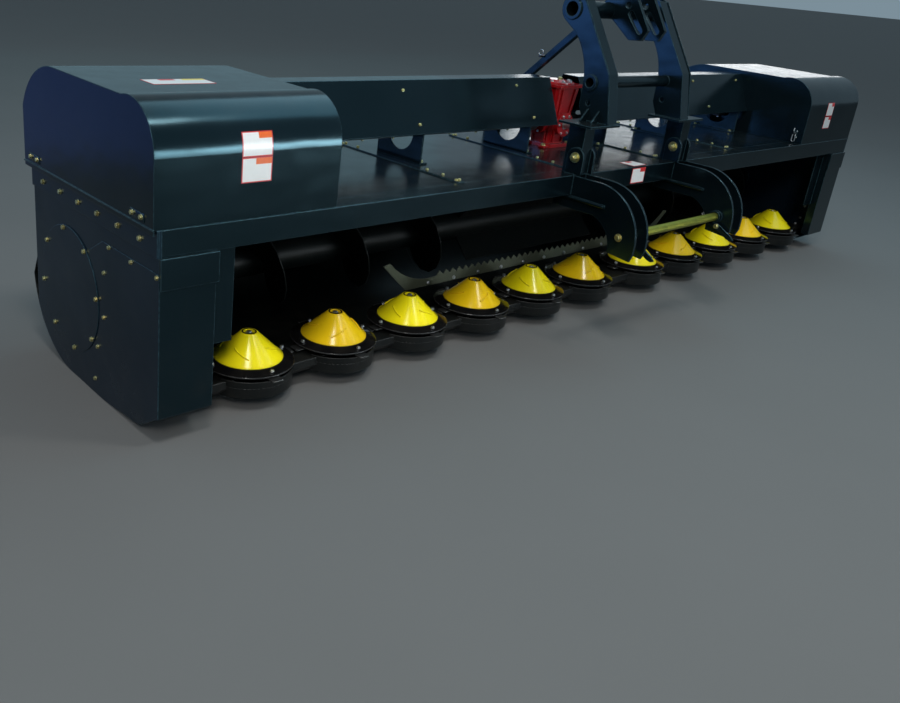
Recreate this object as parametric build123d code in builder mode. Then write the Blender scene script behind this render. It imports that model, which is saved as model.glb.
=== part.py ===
from build123d import *
from math import acos, cos, degrees, pi, radians, sin
import os

# Cotton stalk harvester, a tractor-mounted cutting head 5.8 m wide.
# Millimetres. X runs along the machine, Y to the rear, Z up.
# The origin is on the floor, at the middle of the overall length and depth.

# Overall body
BODY_LENGTH = 5760.0
DECK_Z = 845.0
BEAM = 100.0
BEAM_WALL = 6.0
DECK_SHEET = 5.0
PANEL_LENGTH = 845.0
SEAM_WIDTH = 40.0
SEAM_THICKNESS = 6.0
SEAM_ROWS = (-1.5, -0.5, 0.5, 1.5)

# End plates and the casing between them
PLATE = 10.0
REAR_RUN = 338.0
TOE_RISE = 118.0
TOE_RUN = 135.0
TOE_HEEL = 30.0
SKID_FRONT = 430.0
TOE_SHEET = 7.0
RAIL = 8.0
ROTOR_Y = 732.0
ROTOR_Z = 387.0
CASING_SHEET = 5.0
CASING_INSET = 2.0
WRAP_SETBACK = 4.0
LEDGE_RISE = 33.0
FLOOR_RUN = 70.0
FLOOR_RISE = 18.0
BAR_LIP = 22.0
OUTLET_HALF = 620.0
OUTLET_BOTTOM_Z = 180.0
OUTLET_TOP_Z = 680.0
OUTLET_CUT = 110.0
COVER_RADIUS = 267.0
COVER_THICKNESS = 5.0
HATCH_RADIUS = 232.0
HUB_RADIUS = 75.0
HUB_LENGTH = 34.0
POST_WIDTH = 230.0
POST_DEPTH = 55.0
POST_SHEET = 6.0
POST_FLANGE = 110.0
POST_FLANGE_BOTTOM = 350.0
POST_CAP_HEIGHT = 118.0
POST_CAP_STEP = 8.0

# Hoods over the end drives
HOOD_LENGTH = 805.0
HOOD_OVERHANG = 20.0
HOOD_DEPTH = 1102.0
HOOD_FRONT = 5.0
HOOD_HEIGHT = 425.0
HOOD_FRONT_HEIGHT = 245.0
HOOD_SHOULDER = 238.0
HOOD_REAR_RUN = 300.0
HOOD_REAR_HEIGHT = 230.0
HOOD_CROWN_DROP = 5.0
HOOD_SHEET = 4.0
HOOD_SKIRT = 20.0
HOOD_BEAD = 5.0
DRIVE_BOX = (220.0, 260.0, 270.0)
DRIVE_INSET = 530.0
DRIVE_SOCKET = 60.0
SHAFT_GAP = 20.0
SHAFT_END_GAP = 2.0

# Shaft guards and their supports
SHAFT_Y = 605.0
SHAFT_HEIGHT = 135.0
SHAFT_Z = DECK_Z + SHAFT_HEIGHT
SHAFT_RADIUS = 28.0
GUARD_BASE_HALF = 165.0
GUARD_TOP_HALF = 55.0
GUARD_BASE_HEIGHT = 152.0
GUARD_TOP_HEIGHT = 397.0
GUARD_BASE_Z = DECK_Z + GUARD_BASE_HEIGHT
GUARD_TOP_Z = DECK_Z + GUARD_TOP_HEIGHT
GUARD_SHEET = 4.0
GUARD_INNER_END = 135.0
SUPPORT_THICKNESS = 8.0
SUPPORT_HOLE = 88.0
SUPPORT_FOOT = 40.0
SUPPORT_BEFORE_SEAM = (60.0, 77.0)
SUPPORT_BEFORE_HOOD = 105.0
SUPPORT_TOP_GAP = 6.0
SUPPORT_SIDE_GAP = 6.0

# Gearbox in the middle
GEARBOX_HALF = 120.0
GEARBOX_HEIGHT = 360.0
GEARBOX_TOP_Z = DECK_Z + GEARBOX_HEIGHT
GEARBOX_BASE = 190.0
GEARBOX_FOOT = 20.0
GEARBOX_WAIST = 140.0
GEARBOX_SHOULDER = 210.0
GEARBOX_FLANGE = 16.0
GEARBOX_CORNER = 16.0
HOUSING_RADIUS = 62.0
HOUSING_REACH = 112.0
INPUT_SOCKET = 60.0
INPUT_RADIUS = 17.5
INPUT_LENGTH = 130.0
INPUT_JOURNAL_RADIUS = 24.0
INPUT_COLLAR = 6.0
FIT = 0.05

# Cutter bar and its discs
DISC_PITCH = 468.0
DISC_Y = 215.0
LEFT_ROW_INSET = 545.0
RIGHT_ROW_INSET = 438.0
BAR_WIDTH = 190.0
BAR_BOTTOM_Z = 60.0
BAR_TOP_Z = 126.0
BAR_NOSE = 30.0
SHOE_RADIUS = 193.0
SHOE_HEIGHT = 45.0
SHOE_SHEET = 8.0
BOSS_RADIUS = 70.0
BOSS_HEIGHT = 8.0
SPINDLE_TOP_Z = 205.0
DISC_RADIUS = 198.0
DISC_RIM_Z = 144.0
DISC_TOP_Z = 171.0
KNIFE_TIP_RADIUS = 226.0
KNIFE_WIDTH = 52.0
KNIFE_THICKNESS = 4.0
KNIVES = 4
CONE_RADIUS = 148.0
CONE_TOP_RADIUS = 36.0
CONE_TOP_Z = 277.0
CONE_HOLE = 26.0
CONE_DISH = 12.0
CONE_SEAT = 4.0
DISC_BEVEL = 8.0
DISC_HUB_RADIUS = 45.0
KNIFE_ROOT_RADIUS = 150.0
HUB_BORE_RADIUS = 20.0

# Rotor in the casing
ROTOR_TUBE_RADIUS = 84.0
FLIGHT_RADIUS = 245.0
FLIGHT_PITCH = 520.0
FLIGHT_THICKNESS = 6.0
FLIGHT_TURNS = 4
FLIGHT_STEPS = 16
FLIGHT_START = 660.0
FLIGHT_GAP = 0.3
PADDLES = 4
PADDLE_RADIUS = 235.0
PADDLE_HALF = 600.0
PADDLE_THICKNESS = 8.0
ROTOR_END_GAP = 14.0
ROTOR_WALL = 9.0
JOURNAL_RADIUS = 30.0

# Serrated sill plate behind the discs
SILL_Y = 478.0
SILL_BOTTOM_Z = 166.0
SILL_HEIGHT = 46.0
SILL_THICKNESS = 6.0
CARRIER_SEAT = 0.5
CARRIER_TOE = 40.0
TEETH = 36
TOOTH_PITCH = 52.0
TOOTH_HEIGHT = 26.0
TOOTH_SKEW = 0.35
HOOK_BASE = 229.0
HOOK_SAG = 45.0
HOOK_RUN = 178.0
HOOK_RISE = 159.0
HOOK_TIP = (44.0, 10.0)

# Three-point hitch. In its outlines each point is a place behind the beam's face and a height above the deck
PAIR_INNER = 431.0
PAIR_OUTER = 535.0
HITCH_PLATE = 12.0
HITCH_REACH = 415.0
HITCH_Y = -321.0
HITCH_DROP = 236.0
HITCH_BACK = ((-160.0, 0.0), (-344.0, -80.0), (-HITCH_REACH, -250.0))
HITCH_TOE = ((-HITCH_REACH, -300.0), (-400.0, -338.0))
HITCH_THROAT = ((-272.0, -326.0), (-236.0, -222.0), (-150.0, -168.0))
HITCH_BAR_RADIUS = 22.0
COLLAR_RADIUS = 32.0
COLLAR_LENGTH = 26.0
LINK_PIN_RADIUS = 18.3
RIB_RADIUS = 9.0
RIB_BITE = 2.0
RIB_DROP = 111.0
RIB_FRONT = -210.0
RIB_REAR = 60.0

# Posts and mast
POST_X = 468.0
POST_BOX = 80.0
POST_BOX_DEPTH = 100.0
POST_HEIGHT = 240.0
POST_WALL = 6.0
LUG_PLATE = 12.0
LUG_Y = 25.0
LUG_HEIGHT = 84.0
LUG_RADIUS = 50.0
FOOT_PLATE = 12.0
FOOT_CENTER_Y = 50.0
FOOT_DEPTH = 200.0
FOOT_INNER = 290.0
FOOT_OUTER = 540.0
MAST_OUTER = 390.0
MAST_INNER = 310.0
MAST_PLATE = 10.0
MAST_FOOT = (-40.0, POST_HEIGHT + FOOT_PLATE)
MAST_KNEE = (7.0, 494.0)
MAST_CROWN = ((236.0, 849.0), (345.0, 822.0), (322.0, 720.0))
MAST_WAIST = ((247.0, 668.0), (174.0, 552.0), (150.0, 425.0))
MAST_HEEL = ((150.0, 320.0), (118.0, POST_HEIGHT + FOOT_PLATE))
MAST_HOLE = (98.0, 340.0)
MAST_HOLE_RADIUS = 14.0
LOWER_TUBE = (105.0, 441.0)
UPPER_TUBE = (287.0, 780.0)
LOWER_TUBE_RADIUS = 30.0
UPPER_TUBE_RADIUS = 42.0
TUBE_WALL = 6.0
TUBE_RING = 10.0
CLEVIS_X = 80.0
CLEVIS_PLATE = 20.0
CLEVIS_BACK = ((235.0, 730.0), (335.0, 800.0), (270.0, 880.0))
CLEVIS_NOSE = ((130.0, 870.0), (25.0, 710.0), (55.0, 655.0), (130.0, 650.0))
TOP_PIN = (167.0, 820.0)
TOP_PIN_RADIUS = 16.0
CLEVIS_SLOT = (108.0, 740.0)
CLEVIS_SLOT_LENGTH = 135.0
CLEVIS_SLOT_SLOPE = 49.0
BRACE = 36.0
BRACE_SLOPE = 43.4
BRACKET_PLATE = 10.0
BRACKET_WIDTH = 90.0

PLATE_REAR = ROTOR_Y + REAR_RUN
HOOD_REAR = HOOD_FRONT + HOOD_DEPTH
WRAP_RADIUS = ROTOR_Z - CASING_INSET
CASING_REAR = ROTOR_Y + WRAP_RADIUS - WRAP_SETBACK
FRONT_Y = -(max(HOOD_REAR, CASING_REAR) - HITCH_REACH) / 2
HALF = BODY_LENGTH / 2
INNER = HALF - PLATE
HOOD_OUTER = HALF + HOOD_OVERHANG
HOOD_INNER = HOOD_OUTER - HOOD_LENGTH
DRIVE_X = HALF - DRIVE_INSET
SIDES = (-1, 1)
SEAMS = [row * PANEL_LENGTH for row in SEAM_ROWS]
SUPPORT_X = [seam - gap for seam, gap in zip(SEAMS[len(SEAMS) // 2:], SUPPORT_BEFORE_SEAM)]
SUPPORT_X += [HOOD_INNER - SUPPORT_BEFORE_HOOD]
DISCS = int((BODY_LENGTH - LEFT_ROW_INSET - RIGHT_ROW_INSET) / DISC_PITCH) + 1
RIGHT_ROW = DISCS // 2
DISC_X = [LEFT_ROW_INSET - HALF + i * DISC_PITCH for i in range(DISCS - RIGHT_ROW)]
DISC_X += [HALF - RIGHT_ROW_INSET - i * DISC_PITCH for i in reversed(range(RIGHT_ROW))]

os.makedirs("parts", exist_ok=True)


def across(x, z=0):
    """Plane across the machine at x: local x runs rearwards from the beam's front face, local y up from z."""
    return Plane(origin=(x, FRONT_Y, z), x_dir=(0, 1, 0), z_dir=(1, 0, 0))


def level(z):
    """Level plane at height z: local y runs rearwards from the beam's front face."""
    return Plane(origin=(0, FRONT_Y, z), x_dir=(1, 0, 0), z_dir=(0, 0, 1))


def upright(x, y, z=0, facing=-1):
    """Plane parallel to the beams through a point, facing the front, or the rear when facing is 1."""
    return Plane(origin=(x, FRONT_Y + y, z), x_dir=(1, 0, 0), z_dir=(0, facing, 0))


def save(piece, name):
    piece.part.label = name
    export_step(piece.part, f"parts/{name}.step")


# Front and rear beams, square tubes between the end plates
with BuildPart() as front_beam:
    with BuildSketch(across(-INNER)):
        with Locations((BEAM / 2, DECK_Z - BEAM / 2)):
            Rectangle(BEAM, BEAM)
            Rectangle(BEAM - 2 * BEAM_WALL, BEAM - 2 * BEAM_WALL, mode=Mode.SUBTRACT)
    extrude(amount=2 * INNER)
save(front_beam, "front_beam")

with BuildPart() as rear_beam:
    with BuildSketch(across(-INNER)):
        with Locations((PLATE_REAR - BEAM / 2, DECK_Z - BEAM / 2)):
            Rectangle(BEAM, BEAM)
            Rectangle(BEAM - 2 * BEAM_WALL, BEAM - 2 * BEAM_WALL, mode=Mode.SUBTRACT)
    extrude(amount=2 * INNER)
save(rear_beam, "rear_beam")

# Deck sheets with a raised strip over each seam
DECK_FRONT = BEAM
DECK_REAR = PLATE_REAR - BEAM
with BuildPart() as deck:
    with BuildSketch(level(DECK_Z - DECK_SHEET)):
        with Locations((0, (DECK_FRONT + DECK_REAR) / 2)):
            Rectangle(2 * INNER, DECK_REAR - DECK_FRONT)
    extrude(amount=DECK_SHEET)
    with BuildSketch(level(DECK_Z)):
        with Locations(*[(x, (DECK_FRONT + DECK_REAR) / 2) for x in SEAMS]):
            Rectangle(SEAM_WIDTH, DECK_REAR - DECK_FRONT)
    extrude(amount=SEAM_THICKNESS)
save(deck, "deck_panels")

# Wrap of the casing about the rotor: where it leaves the rear wall, and its lowest line
WRAP_ANGLE = degrees(acos((WRAP_RADIUS - WRAP_SETBACK) / WRAP_RADIUS))
HEEL_ANGLE = degrees(acos(REAR_RUN / ROTOR_Z))


def wrap(radius, below):
    """Point on a circle about the rotor's axis, so many degrees below the level of the axis at the rear."""
    return (ROTOR_Y + radius * cos(radians(below)), ROTOR_Z - radius * sin(radians(below)))


def wrap_arc(radius, start):
    """Arc about the rotor's axis, from so many degrees below its level down to the lowest line."""
    ThreePointArc(wrap(radius, start), wrap(radius, (start + 90) / 2), wrap(radius, 90))


# End plates, with a sloping toe, a level skid and a round heel
with BuildPart() as end_plates:
    for sign in SIDES:
        with BuildSketch(across(sign * INNER)):
            with BuildLine():
                Polyline(wrap(ROTOR_Z, 90), (SKID_FRONT, 0), (TOE_RUN, TOE_HEEL), (0, TOE_RISE), (0, DECK_Z),
                         (PLATE_REAR, DECK_Z), wrap(ROTOR_Z, HEEL_ANGLE))
                wrap_arc(ROTOR_Z, HEEL_ANGLE)
            make_face()
            with Locations((ROTOR_Y, ROTOR_Z)):
                Circle(HATCH_RADIUS, mode=Mode.SUBTRACT)
        extrude(amount=sign * PLATE)
save(end_plates, "end_plates")

# Side rails, flat bars bolted outside the end plates under the hoods
with BuildPart() as rails:
    for sign in SIDES:
        with BuildSketch(across(sign * HALF)):
            with Locations((PLATE_REAR / 2, DECK_Z - BEAM / 2)):
                Rectangle(PLATE_REAR, BEAM)
        extrude(amount=sign * RAIL)
save(rails, "side_rails")

# Round bearing covers over the openings in the end plates, each with its hub inside
with BuildPart() as covers:
    for sign in SIDES:
        face = sign * HALF
        with BuildSketch(across(face)):
            with Locations((ROTOR_Y, ROTOR_Z)):
                Circle(COVER_RADIUS)
        extrude(amount=sign * COVER_THICKNESS)
        with BuildSketch(across(face)):
            with Locations((ROTOR_Y, ROTOR_Z)):
                Circle(HUB_RADIUS)
                Circle(JOURNAL_RADIUS + FIT, mode=Mode.SUBTRACT)
        extrude(amount=-sign * HUB_LENGTH)
save(covers, "bearing_covers")

# End posts, folded sheets in front of the end plates, each under a wider cap and over a sloping toe sheet,
# with a flange turned back towards the chamber
with BuildPart() as posts:
    for sign in SIDES:
        outer = sign * HALF
        with BuildSketch(level(TOE_RISE)):
            with Locations((outer - sign * POST_WIDTH / 2, -POST_SHEET / 2)):
                Rectangle(POST_WIDTH, POST_SHEET)
            with Locations((outer - sign * (POST_WIDTH - POST_SHEET / 2), POST_DEPTH / 2 - POST_SHEET)):
                Rectangle(POST_SHEET, POST_DEPTH)
        extrude(amount=DECK_Z - BEAM - TOE_RISE)
        with BuildSketch(level(POST_FLANGE_BOTTOM)):
            with Locations((outer - sign * (POST_WIDTH + POST_FLANGE / 2), POST_DEPTH - 1.5 * POST_SHEET)):
                Rectangle(POST_FLANGE, POST_SHEET)
        extrude(amount=DECK_Z - BEAM - POST_FLANGE_BOTTOM)
        with BuildSketch(level(DECK_Z - BEAM - POST_CAP_HEIGHT)):
            cap = POST_WIDTH + POST_CAP_STEP
            with Locations((outer - sign * cap / 2, -POST_SHEET - POST_CAP_STEP / 2)):
                Rectangle(cap, POST_CAP_STEP)
        extrude(amount=POST_CAP_HEIGHT)
        with BuildSketch(across(sign * INNER)):
            with BuildLine():
                Polyline((0, TOE_RISE), (TOE_RUN, TOE_HEEL), (TOE_RUN, TOE_HEEL + TOE_SHEET),
                         (0, TOE_RISE + TOE_SHEET), close=True)
            make_face()
        extrude(amount=sign * (PLATE - POST_WIDTH))
save(posts, "end_posts")

# Casing about the rotor, from under the rear beam round to the cutter bar, that bulges past the end plates' rear
BAR_REAR = DISC_Y + BAR_WIDTH / 2
FLOOR_Z = CASING_INSET + CASING_SHEET


def wrap_line():
    """The part of the casing's outline that bulges from the rear wall and wraps the rotor."""
    Line((PLATE_REAR, ROTOR_Z + LEDGE_RISE), wrap(WRAP_RADIUS, WRAP_ANGLE))
    wrap_arc(WRAP_RADIUS, WRAP_ANGLE)


def casing_line():
    """The outline of the casing's sheet, seen from the side."""
    Line((PLATE_REAR, DECK_Z - BEAM), (PLATE_REAR, ROTOR_Z + LEDGE_RISE))
    wrap_line()
    Polyline(wrap(WRAP_RADIUS, 90), (SKID_FRONT, CASING_INSET),
             (BAR_REAR + FLOOR_RUN, CASING_INSET + FLOOR_RISE), (BAR_REAR, BAR_BOTTOM_Z + BAR_LIP))


with BuildPart() as casing:
    for sign in SIDES:
        with BuildSketch(across(sign * OUTLET_HALF)):
            with BuildLine():
                casing_line()
                offset(amount=CASING_SHEET, side=Side.RIGHT)
            make_face()
        extrude(amount=sign * (INNER - OUTLET_HALF))
        with BuildSketch(across(sign * INNER)):
            with BuildLine():
                wrap_line()
                offset(amount=CASING_SHEET, side=Side.RIGHT)
            make_face()
            with Locations((PLATE_REAR + WRAP_RADIUS / 2, ROTOR_Z)):
                Rectangle(WRAP_RADIUS, 2 * WRAP_RADIUS, mode=Mode.INTERSECT)
        extrude(amount=sign * PLATE)
save(casing, "chamber_casing")

# Middle of the casing, with the outlet in its rear wall
with BuildPart() as outlet:
    with BuildSketch(across(-OUTLET_HALF)):
        with BuildLine():
            casing_line()
            offset(amount=CASING_SHEET, side=Side.RIGHT)
        make_face()
    extrude(amount=2 * OUTLET_HALF)
    with BuildSketch(upright(0, PLATE_REAR - OUTLET_CUT, (OUTLET_BOTTOM_Z + OUTLET_TOP_Z) / 2, facing=1)):
        Rectangle(2 * OUTLET_HALF, OUTLET_TOP_Z - OUTLET_BOTTOM_Z)
    extrude(amount=2 * OUTLET_CUT, mode=Mode.SUBTRACT)
save(outlet, "outlet_section")

# Hoods, hollow and open below, with a rounded front and rear
HOOD_TOP_Z = DECK_Z + HOOD_HEIGHT


def hood_profile(inset):
    """Side outline of the hood, drawn a wall's thickness inside when inset is given."""
    front = HOOD_FRONT + inset
    rear = HOOD_REAR - inset
    top = HOOD_TOP_Z - inset
    Line((rear, DECK_Z), (front, DECK_Z))
    Line((front, DECK_Z), (front, DECK_Z + HOOD_FRONT_HEIGHT))
    shoulder = (HOOD_SHOULDER, top - HOOD_CROWN_DROP)
    TangentArc((front, DECK_Z + HOOD_FRONT_HEIGHT), shoulder, tangent=(0, 1))
    Line(shoulder, (HOOD_REAR - HOOD_REAR_RUN, top))
    TangentArc((HOOD_REAR - HOOD_REAR_RUN, top), (rear, DECK_Z + HOOD_REAR_HEIGHT), tangent=(1, 0))
    Line((rear, DECK_Z + HOOD_REAR_HEIGHT), (rear, DECK_Z))


with BuildPart() as hoods:
    for sign in SIDES:
        with BuildSketch(across(sign * HOOD_OUTER)):
            with BuildLine():
                hood_profile(0)
            make_face()
        extrude(amount=-sign * HOOD_LENGTH)
        with BuildSketch(across(sign * (HOOD_OUTER - HOOD_SHEET))):
            with BuildLine():
                hood_profile(HOOD_SHEET)
            make_face()
        extrude(amount=-sign * (HOOD_LENGTH - 2 * HOOD_SHEET), mode=Mode.SUBTRACT)
        with BuildSketch(across(sign * HOOD_OUTER, DECK_Z)):
            with Locations(((HOOD_FRONT + HOOD_REAR) / 2, -HOOD_SKIRT / 2)):
                Rectangle(HOOD_DEPTH, HOOD_SKIRT)
        extrude(amount=-sign * HOOD_SHEET)
        with BuildSketch(across(sign * HOOD_OUTER, DECK_Z)):
            with Locations(((HOOD_FRONT + HOOD_REAR) / 2, 0)):
                Rectangle(HOOD_DEPTH, HOOD_BEAD)
        extrude(amount=sign * HOOD_BEAD)
        with BuildSketch(across(sign * (HOOD_INNER + HOOD_SHEET / 2))):
            with Locations((SHAFT_Y, SHAFT_Z)):
                Circle(SHAFT_RADIUS + SHAFT_GAP)
        extrude(amount=HOOD_SHEET, both=True, mode=Mode.SUBTRACT)
save(hoods, "hoods")

# Closed end drives under the hoods, a plain block each, that carry the cross shafts
with BuildPart() as drives:
    for sign in SIDES:
        width, depth, height = DRIVE_BOX
        with BuildSketch(level(DECK_Z)):
            with Locations((sign * DRIVE_X, SHAFT_Y)):
                Rectangle(width, depth)
        extrude(amount=height)
        with BuildSketch(across(sign * (DRIVE_X - width / 2))):
            with Locations((SHAFT_Y, SHAFT_Z)):
                Circle(SHAFT_RADIUS + FIT)
        extrude(amount=sign * DRIVE_SOCKET, mode=Mode.SUBTRACT)
save(drives, "end_drives")

# Shaft guards, folded sheet of trapezoid section, open below
with BuildPart() as guards:
    for sign in SIDES:
        with BuildSketch(across(sign * GUARD_INNER_END)):
            with BuildLine():
                Polyline((SHAFT_Y - GUARD_BASE_HALF, GUARD_BASE_Z), (SHAFT_Y - GUARD_TOP_HALF, GUARD_TOP_Z),
                         (SHAFT_Y + GUARD_TOP_HALF, GUARD_TOP_Z), (SHAFT_Y + GUARD_BASE_HALF, GUARD_BASE_Z))
                offset(amount=GUARD_SHEET, side=Side.RIGHT)
            make_face()
        extrude(amount=sign * (HOOD_INNER - GUARD_INNER_END))
save(guards, "shaft_guards")

# Guard supports, upright plates with a round hole for the shaft and a bolted foot
with BuildPart() as supports:
    lean = (GUARD_BASE_HALF - GUARD_TOP_HALF) / (GUARD_TOP_Z - GUARD_BASE_Z)
    top_z = GUARD_TOP_Z - SUPPORT_TOP_GAP
    base_half = GUARD_BASE_HALF - SUPPORT_SIDE_GAP
    top_half = base_half - lean * (top_z - GUARD_BASE_Z)
    for sign in SIDES:
        for x in SUPPORT_X:
            with BuildSketch(across(sign * x)):
                with BuildLine():
                    Polyline((SHAFT_Y - base_half, DECK_Z), (SHAFT_Y - base_half, GUARD_BASE_Z),
                             (SHAFT_Y - top_half, top_z), (SHAFT_Y + top_half, top_z),
                             (SHAFT_Y + base_half, GUARD_BASE_Z), (SHAFT_Y + base_half, DECK_Z), close=True)
                make_face()
                with Locations((SHAFT_Y, SHAFT_Z)):
                    Circle(SUPPORT_HOLE, mode=Mode.SUBTRACT)
            extrude(amount=sign * SUPPORT_THICKNESS)
            with BuildSketch(level(DECK_Z)):
                with Locations((sign * (x - SUPPORT_FOOT / 2), SHAFT_Y)):
                    Rectangle(SUPPORT_FOOT, 2 * base_half)
            extrude(amount=SUPPORT_THICKNESS)
save(supports, "guard_supports")

# Gearbox, tapered towards its base, with a wide top flange and shaft housings


def cut_square(size):
    """Square about the gearbox's middle with its corners cut off."""
    with Locations((0, SHAFT_Y)):
        square = Rectangle(size, size)
    chamfer(square.vertices(), GEARBOX_CORNER)


with BuildPart() as gearbox:
    with BuildSketch(level(DECK_Z)):
        cut_square(GEARBOX_BASE)
    extrude(amount=GEARBOX_FOOT)
    with BuildSketch(level(DECK_Z + GEARBOX_FOOT)):
        cut_square(GEARBOX_WAIST)
    with BuildSketch(level(GEARBOX_TOP_Z - GEARBOX_FLANGE)):
        cut_square(GEARBOX_SHOULDER)
    loft(ruled=True)
    with BuildSketch(level(GEARBOX_TOP_Z - GEARBOX_FLANGE)):
        cut_square(2 * GEARBOX_HALF)
    extrude(amount=GEARBOX_FLANGE)
    with BuildSketch(across(0)):
        with Locations((SHAFT_Y, SHAFT_Z)):
            Circle(HOUSING_RADIUS)
    extrude(amount=HOUSING_REACH, both=True)
    with BuildSketch(upright(0, SHAFT_Y, SHAFT_Z)):
        Circle(HOUSING_RADIUS)
    extrude(amount=HOUSING_REACH)
    with BuildSketch(across(0)):
        with Locations((SHAFT_Y, SHAFT_Z)):
            Circle(SHAFT_RADIUS + FIT)
    extrude(amount=HOUSING_REACH, both=True, mode=Mode.SUBTRACT)
    with BuildSketch(upright(0, SHAFT_Y - HOUSING_REACH, SHAFT_Z, facing=1)):
        Circle(INPUT_JOURNAL_RADIUS + FIT)
    extrude(amount=INPUT_SOCKET, mode=Mode.SUBTRACT)
save(gearbox, "gearbox")

# Cross shaft through the gearbox, from one end drive to the other
with BuildPart() as cross_shaft:
    reach = DRIVE_X - DRIVE_BOX[0] / 2 + DRIVE_SOCKET - SHAFT_END_GAP
    with BuildSketch(across(-reach)):
        with Locations((SHAFT_Y, SHAFT_Z)):
            Circle(SHAFT_RADIUS)
    extrude(amount=2 * reach)
save(cross_shaft, "cross_shaft")

# Input shaft at the front of the gearbox, with a collar behind its splined end
COLLAR_Y = SHAFT_Y - HOUSING_REACH - INPUT_COLLAR
with BuildPart() as input_shaft:
    with BuildSketch(upright(0, COLLAR_Y, SHAFT_Z, facing=1)):
        Circle(INPUT_JOURNAL_RADIUS)
    extrude(amount=INPUT_COLLAR + INPUT_SOCKET - SHAFT_END_GAP)
    with BuildSketch(upright(0, COLLAR_Y, SHAFT_Z)):
        Circle(INPUT_RADIUS)
    extrude(amount=INPUT_LENGTH)
save(input_shaft, "input_shaft")

# Cutter bar with a boss and a fixed spindle under each disc
with BuildPart() as cutter_bar:
    with BuildSketch(across(-INNER)):
        with BuildLine():
            Polyline((DISC_Y - BAR_WIDTH / 2, BAR_TOP_Z), (BAR_REAR, BAR_TOP_Z), (BAR_REAR, BAR_BOTTOM_Z),
                     (DISC_Y - BAR_WIDTH / 2 + BAR_NOSE, BAR_BOTTOM_Z),
                     (DISC_Y - BAR_WIDTH / 2, BAR_BOTTOM_Z + BAR_NOSE), close=True)
        make_face()
    extrude(amount=2 * INNER)
    for height, bore in ((SHOE_SHEET, 0), (SHOE_HEIGHT, SHOE_RADIUS - SHOE_SHEET)):
        with BuildSketch(level(BAR_BOTTOM_Z)):
            with Locations(*[(x, DISC_Y) for x in DISC_X]):
                Circle(SHOE_RADIUS)
                if bore:
                    Circle(bore, mode=Mode.SUBTRACT)
            with Locations((0, DISC_Y + SHOE_RADIUS / 2)):
                Rectangle(2 * HALF, SHOE_RADIUS, mode=Mode.SUBTRACT)
        extrude(amount=height)
    with BuildSketch(level(BAR_TOP_Z)):
        with Locations(*[(x, DISC_Y) for x in DISC_X]):
            Circle(BOSS_RADIUS)
    extrude(amount=BOSS_HEIGHT)
    with BuildSketch(level(BAR_TOP_Z)):
        with Locations(*[(x, DISC_Y) for x in DISC_X]):
            Circle(HUB_BORE_RADIUS - FIT)
    extrude(amount=SPINDLE_TOP_Z - BAR_TOP_Z)
save(cutter_bar, "cutter_bar")

# Discs, each with knives below its rim and a hub on the spindle, and the cones above them
HUB_TOP_Z = SPINDLE_TOP_Z + SHAFT_END_GAP
for number, x in enumerate(DISC_X, start=1):
    with BuildPart() as disc:
        with BuildSketch(upright(x, DISC_Y)):
            with BuildLine():
                Polyline((HUB_BORE_RADIUS, DISC_RIM_Z), (DISC_RADIUS - DISC_BEVEL, DISC_RIM_Z),
                         (DISC_RADIUS, DISC_RIM_Z + DISC_BEVEL), (DISC_RADIUS, DISC_RIM_Z + 1.5 * DISC_BEVEL),
                         (CONE_RADIUS + 4, DISC_TOP_Z), (DISC_HUB_RADIUS, DISC_TOP_Z),
                         (DISC_HUB_RADIUS, HUB_TOP_Z), (HUB_BORE_RADIUS, HUB_TOP_Z), close=True)
            make_face()
        revolve(axis=Axis((x, FRONT_Y + DISC_Y, 0), (0, 0, 1)))
        with BuildSketch(level(DISC_RIM_Z - KNIFE_THICKNESS)):
            with Locations((x, DISC_Y)):
                with PolarLocations((KNIFE_TIP_RADIUS + KNIFE_ROOT_RADIUS) / 2, KNIVES):
                    Rectangle(KNIFE_TIP_RADIUS - KNIFE_ROOT_RADIUS, KNIFE_WIDTH)
        extrude(amount=KNIFE_THICKNESS)
    save(disc, f"disc_{number}")
    with BuildPart() as cone:
        with BuildSketch(upright(x, DISC_Y)):
            with BuildLine():
                socket_z = HUB_TOP_Z + CONE_SEAT
                socket_radius = DISC_HUB_RADIUS + CONE_SEAT
                Polyline((CONE_RADIUS, DISC_TOP_Z), (CONE_TOP_RADIUS, CONE_TOP_Z), (CONE_HOLE, CONE_TOP_Z),
                         (CONE_HOLE, CONE_TOP_Z - CONE_DISH), (0, CONE_TOP_Z - CONE_DISH), (0, socket_z),
                         (socket_radius, socket_z), (socket_radius, DISC_TOP_Z), close=True)
            make_face()
        revolve(axis=Axis((x, FRONT_Y + DISC_Y, 0), (0, 0, 1)))
    save(cone, f"cone_{number}")

# Rotor tube on its journals, and the flights wound in opposite directions towards the middle
with BuildPart() as rotor:
    tube_half = HALF - HUB_LENGTH - ROTOR_END_GAP
    with BuildSketch(across(-tube_half)):
        with Locations((ROTOR_Y, ROTOR_Z)):
            Circle(ROTOR_TUBE_RADIUS)
    extrude(amount=2 * tube_half)
    with BuildSketch(across(ROTOR_WALL - tube_half)):
        with Locations((ROTOR_Y, ROTOR_Z)):
            Circle(ROTOR_TUBE_RADIUS - ROTOR_WALL)
    extrude(amount=2 * (tube_half - ROTOR_WALL), mode=Mode.SUBTRACT)
    journal_reach = HALF - SHAFT_END_GAP
    with BuildSketch(across(-journal_reach)):
        with Locations((ROTOR_Y, ROTOR_Z)):
            Circle(JOURNAL_RADIUS)
    extrude(amount=2 * journal_reach)
save(rotor, "rotor_tube")

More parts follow.
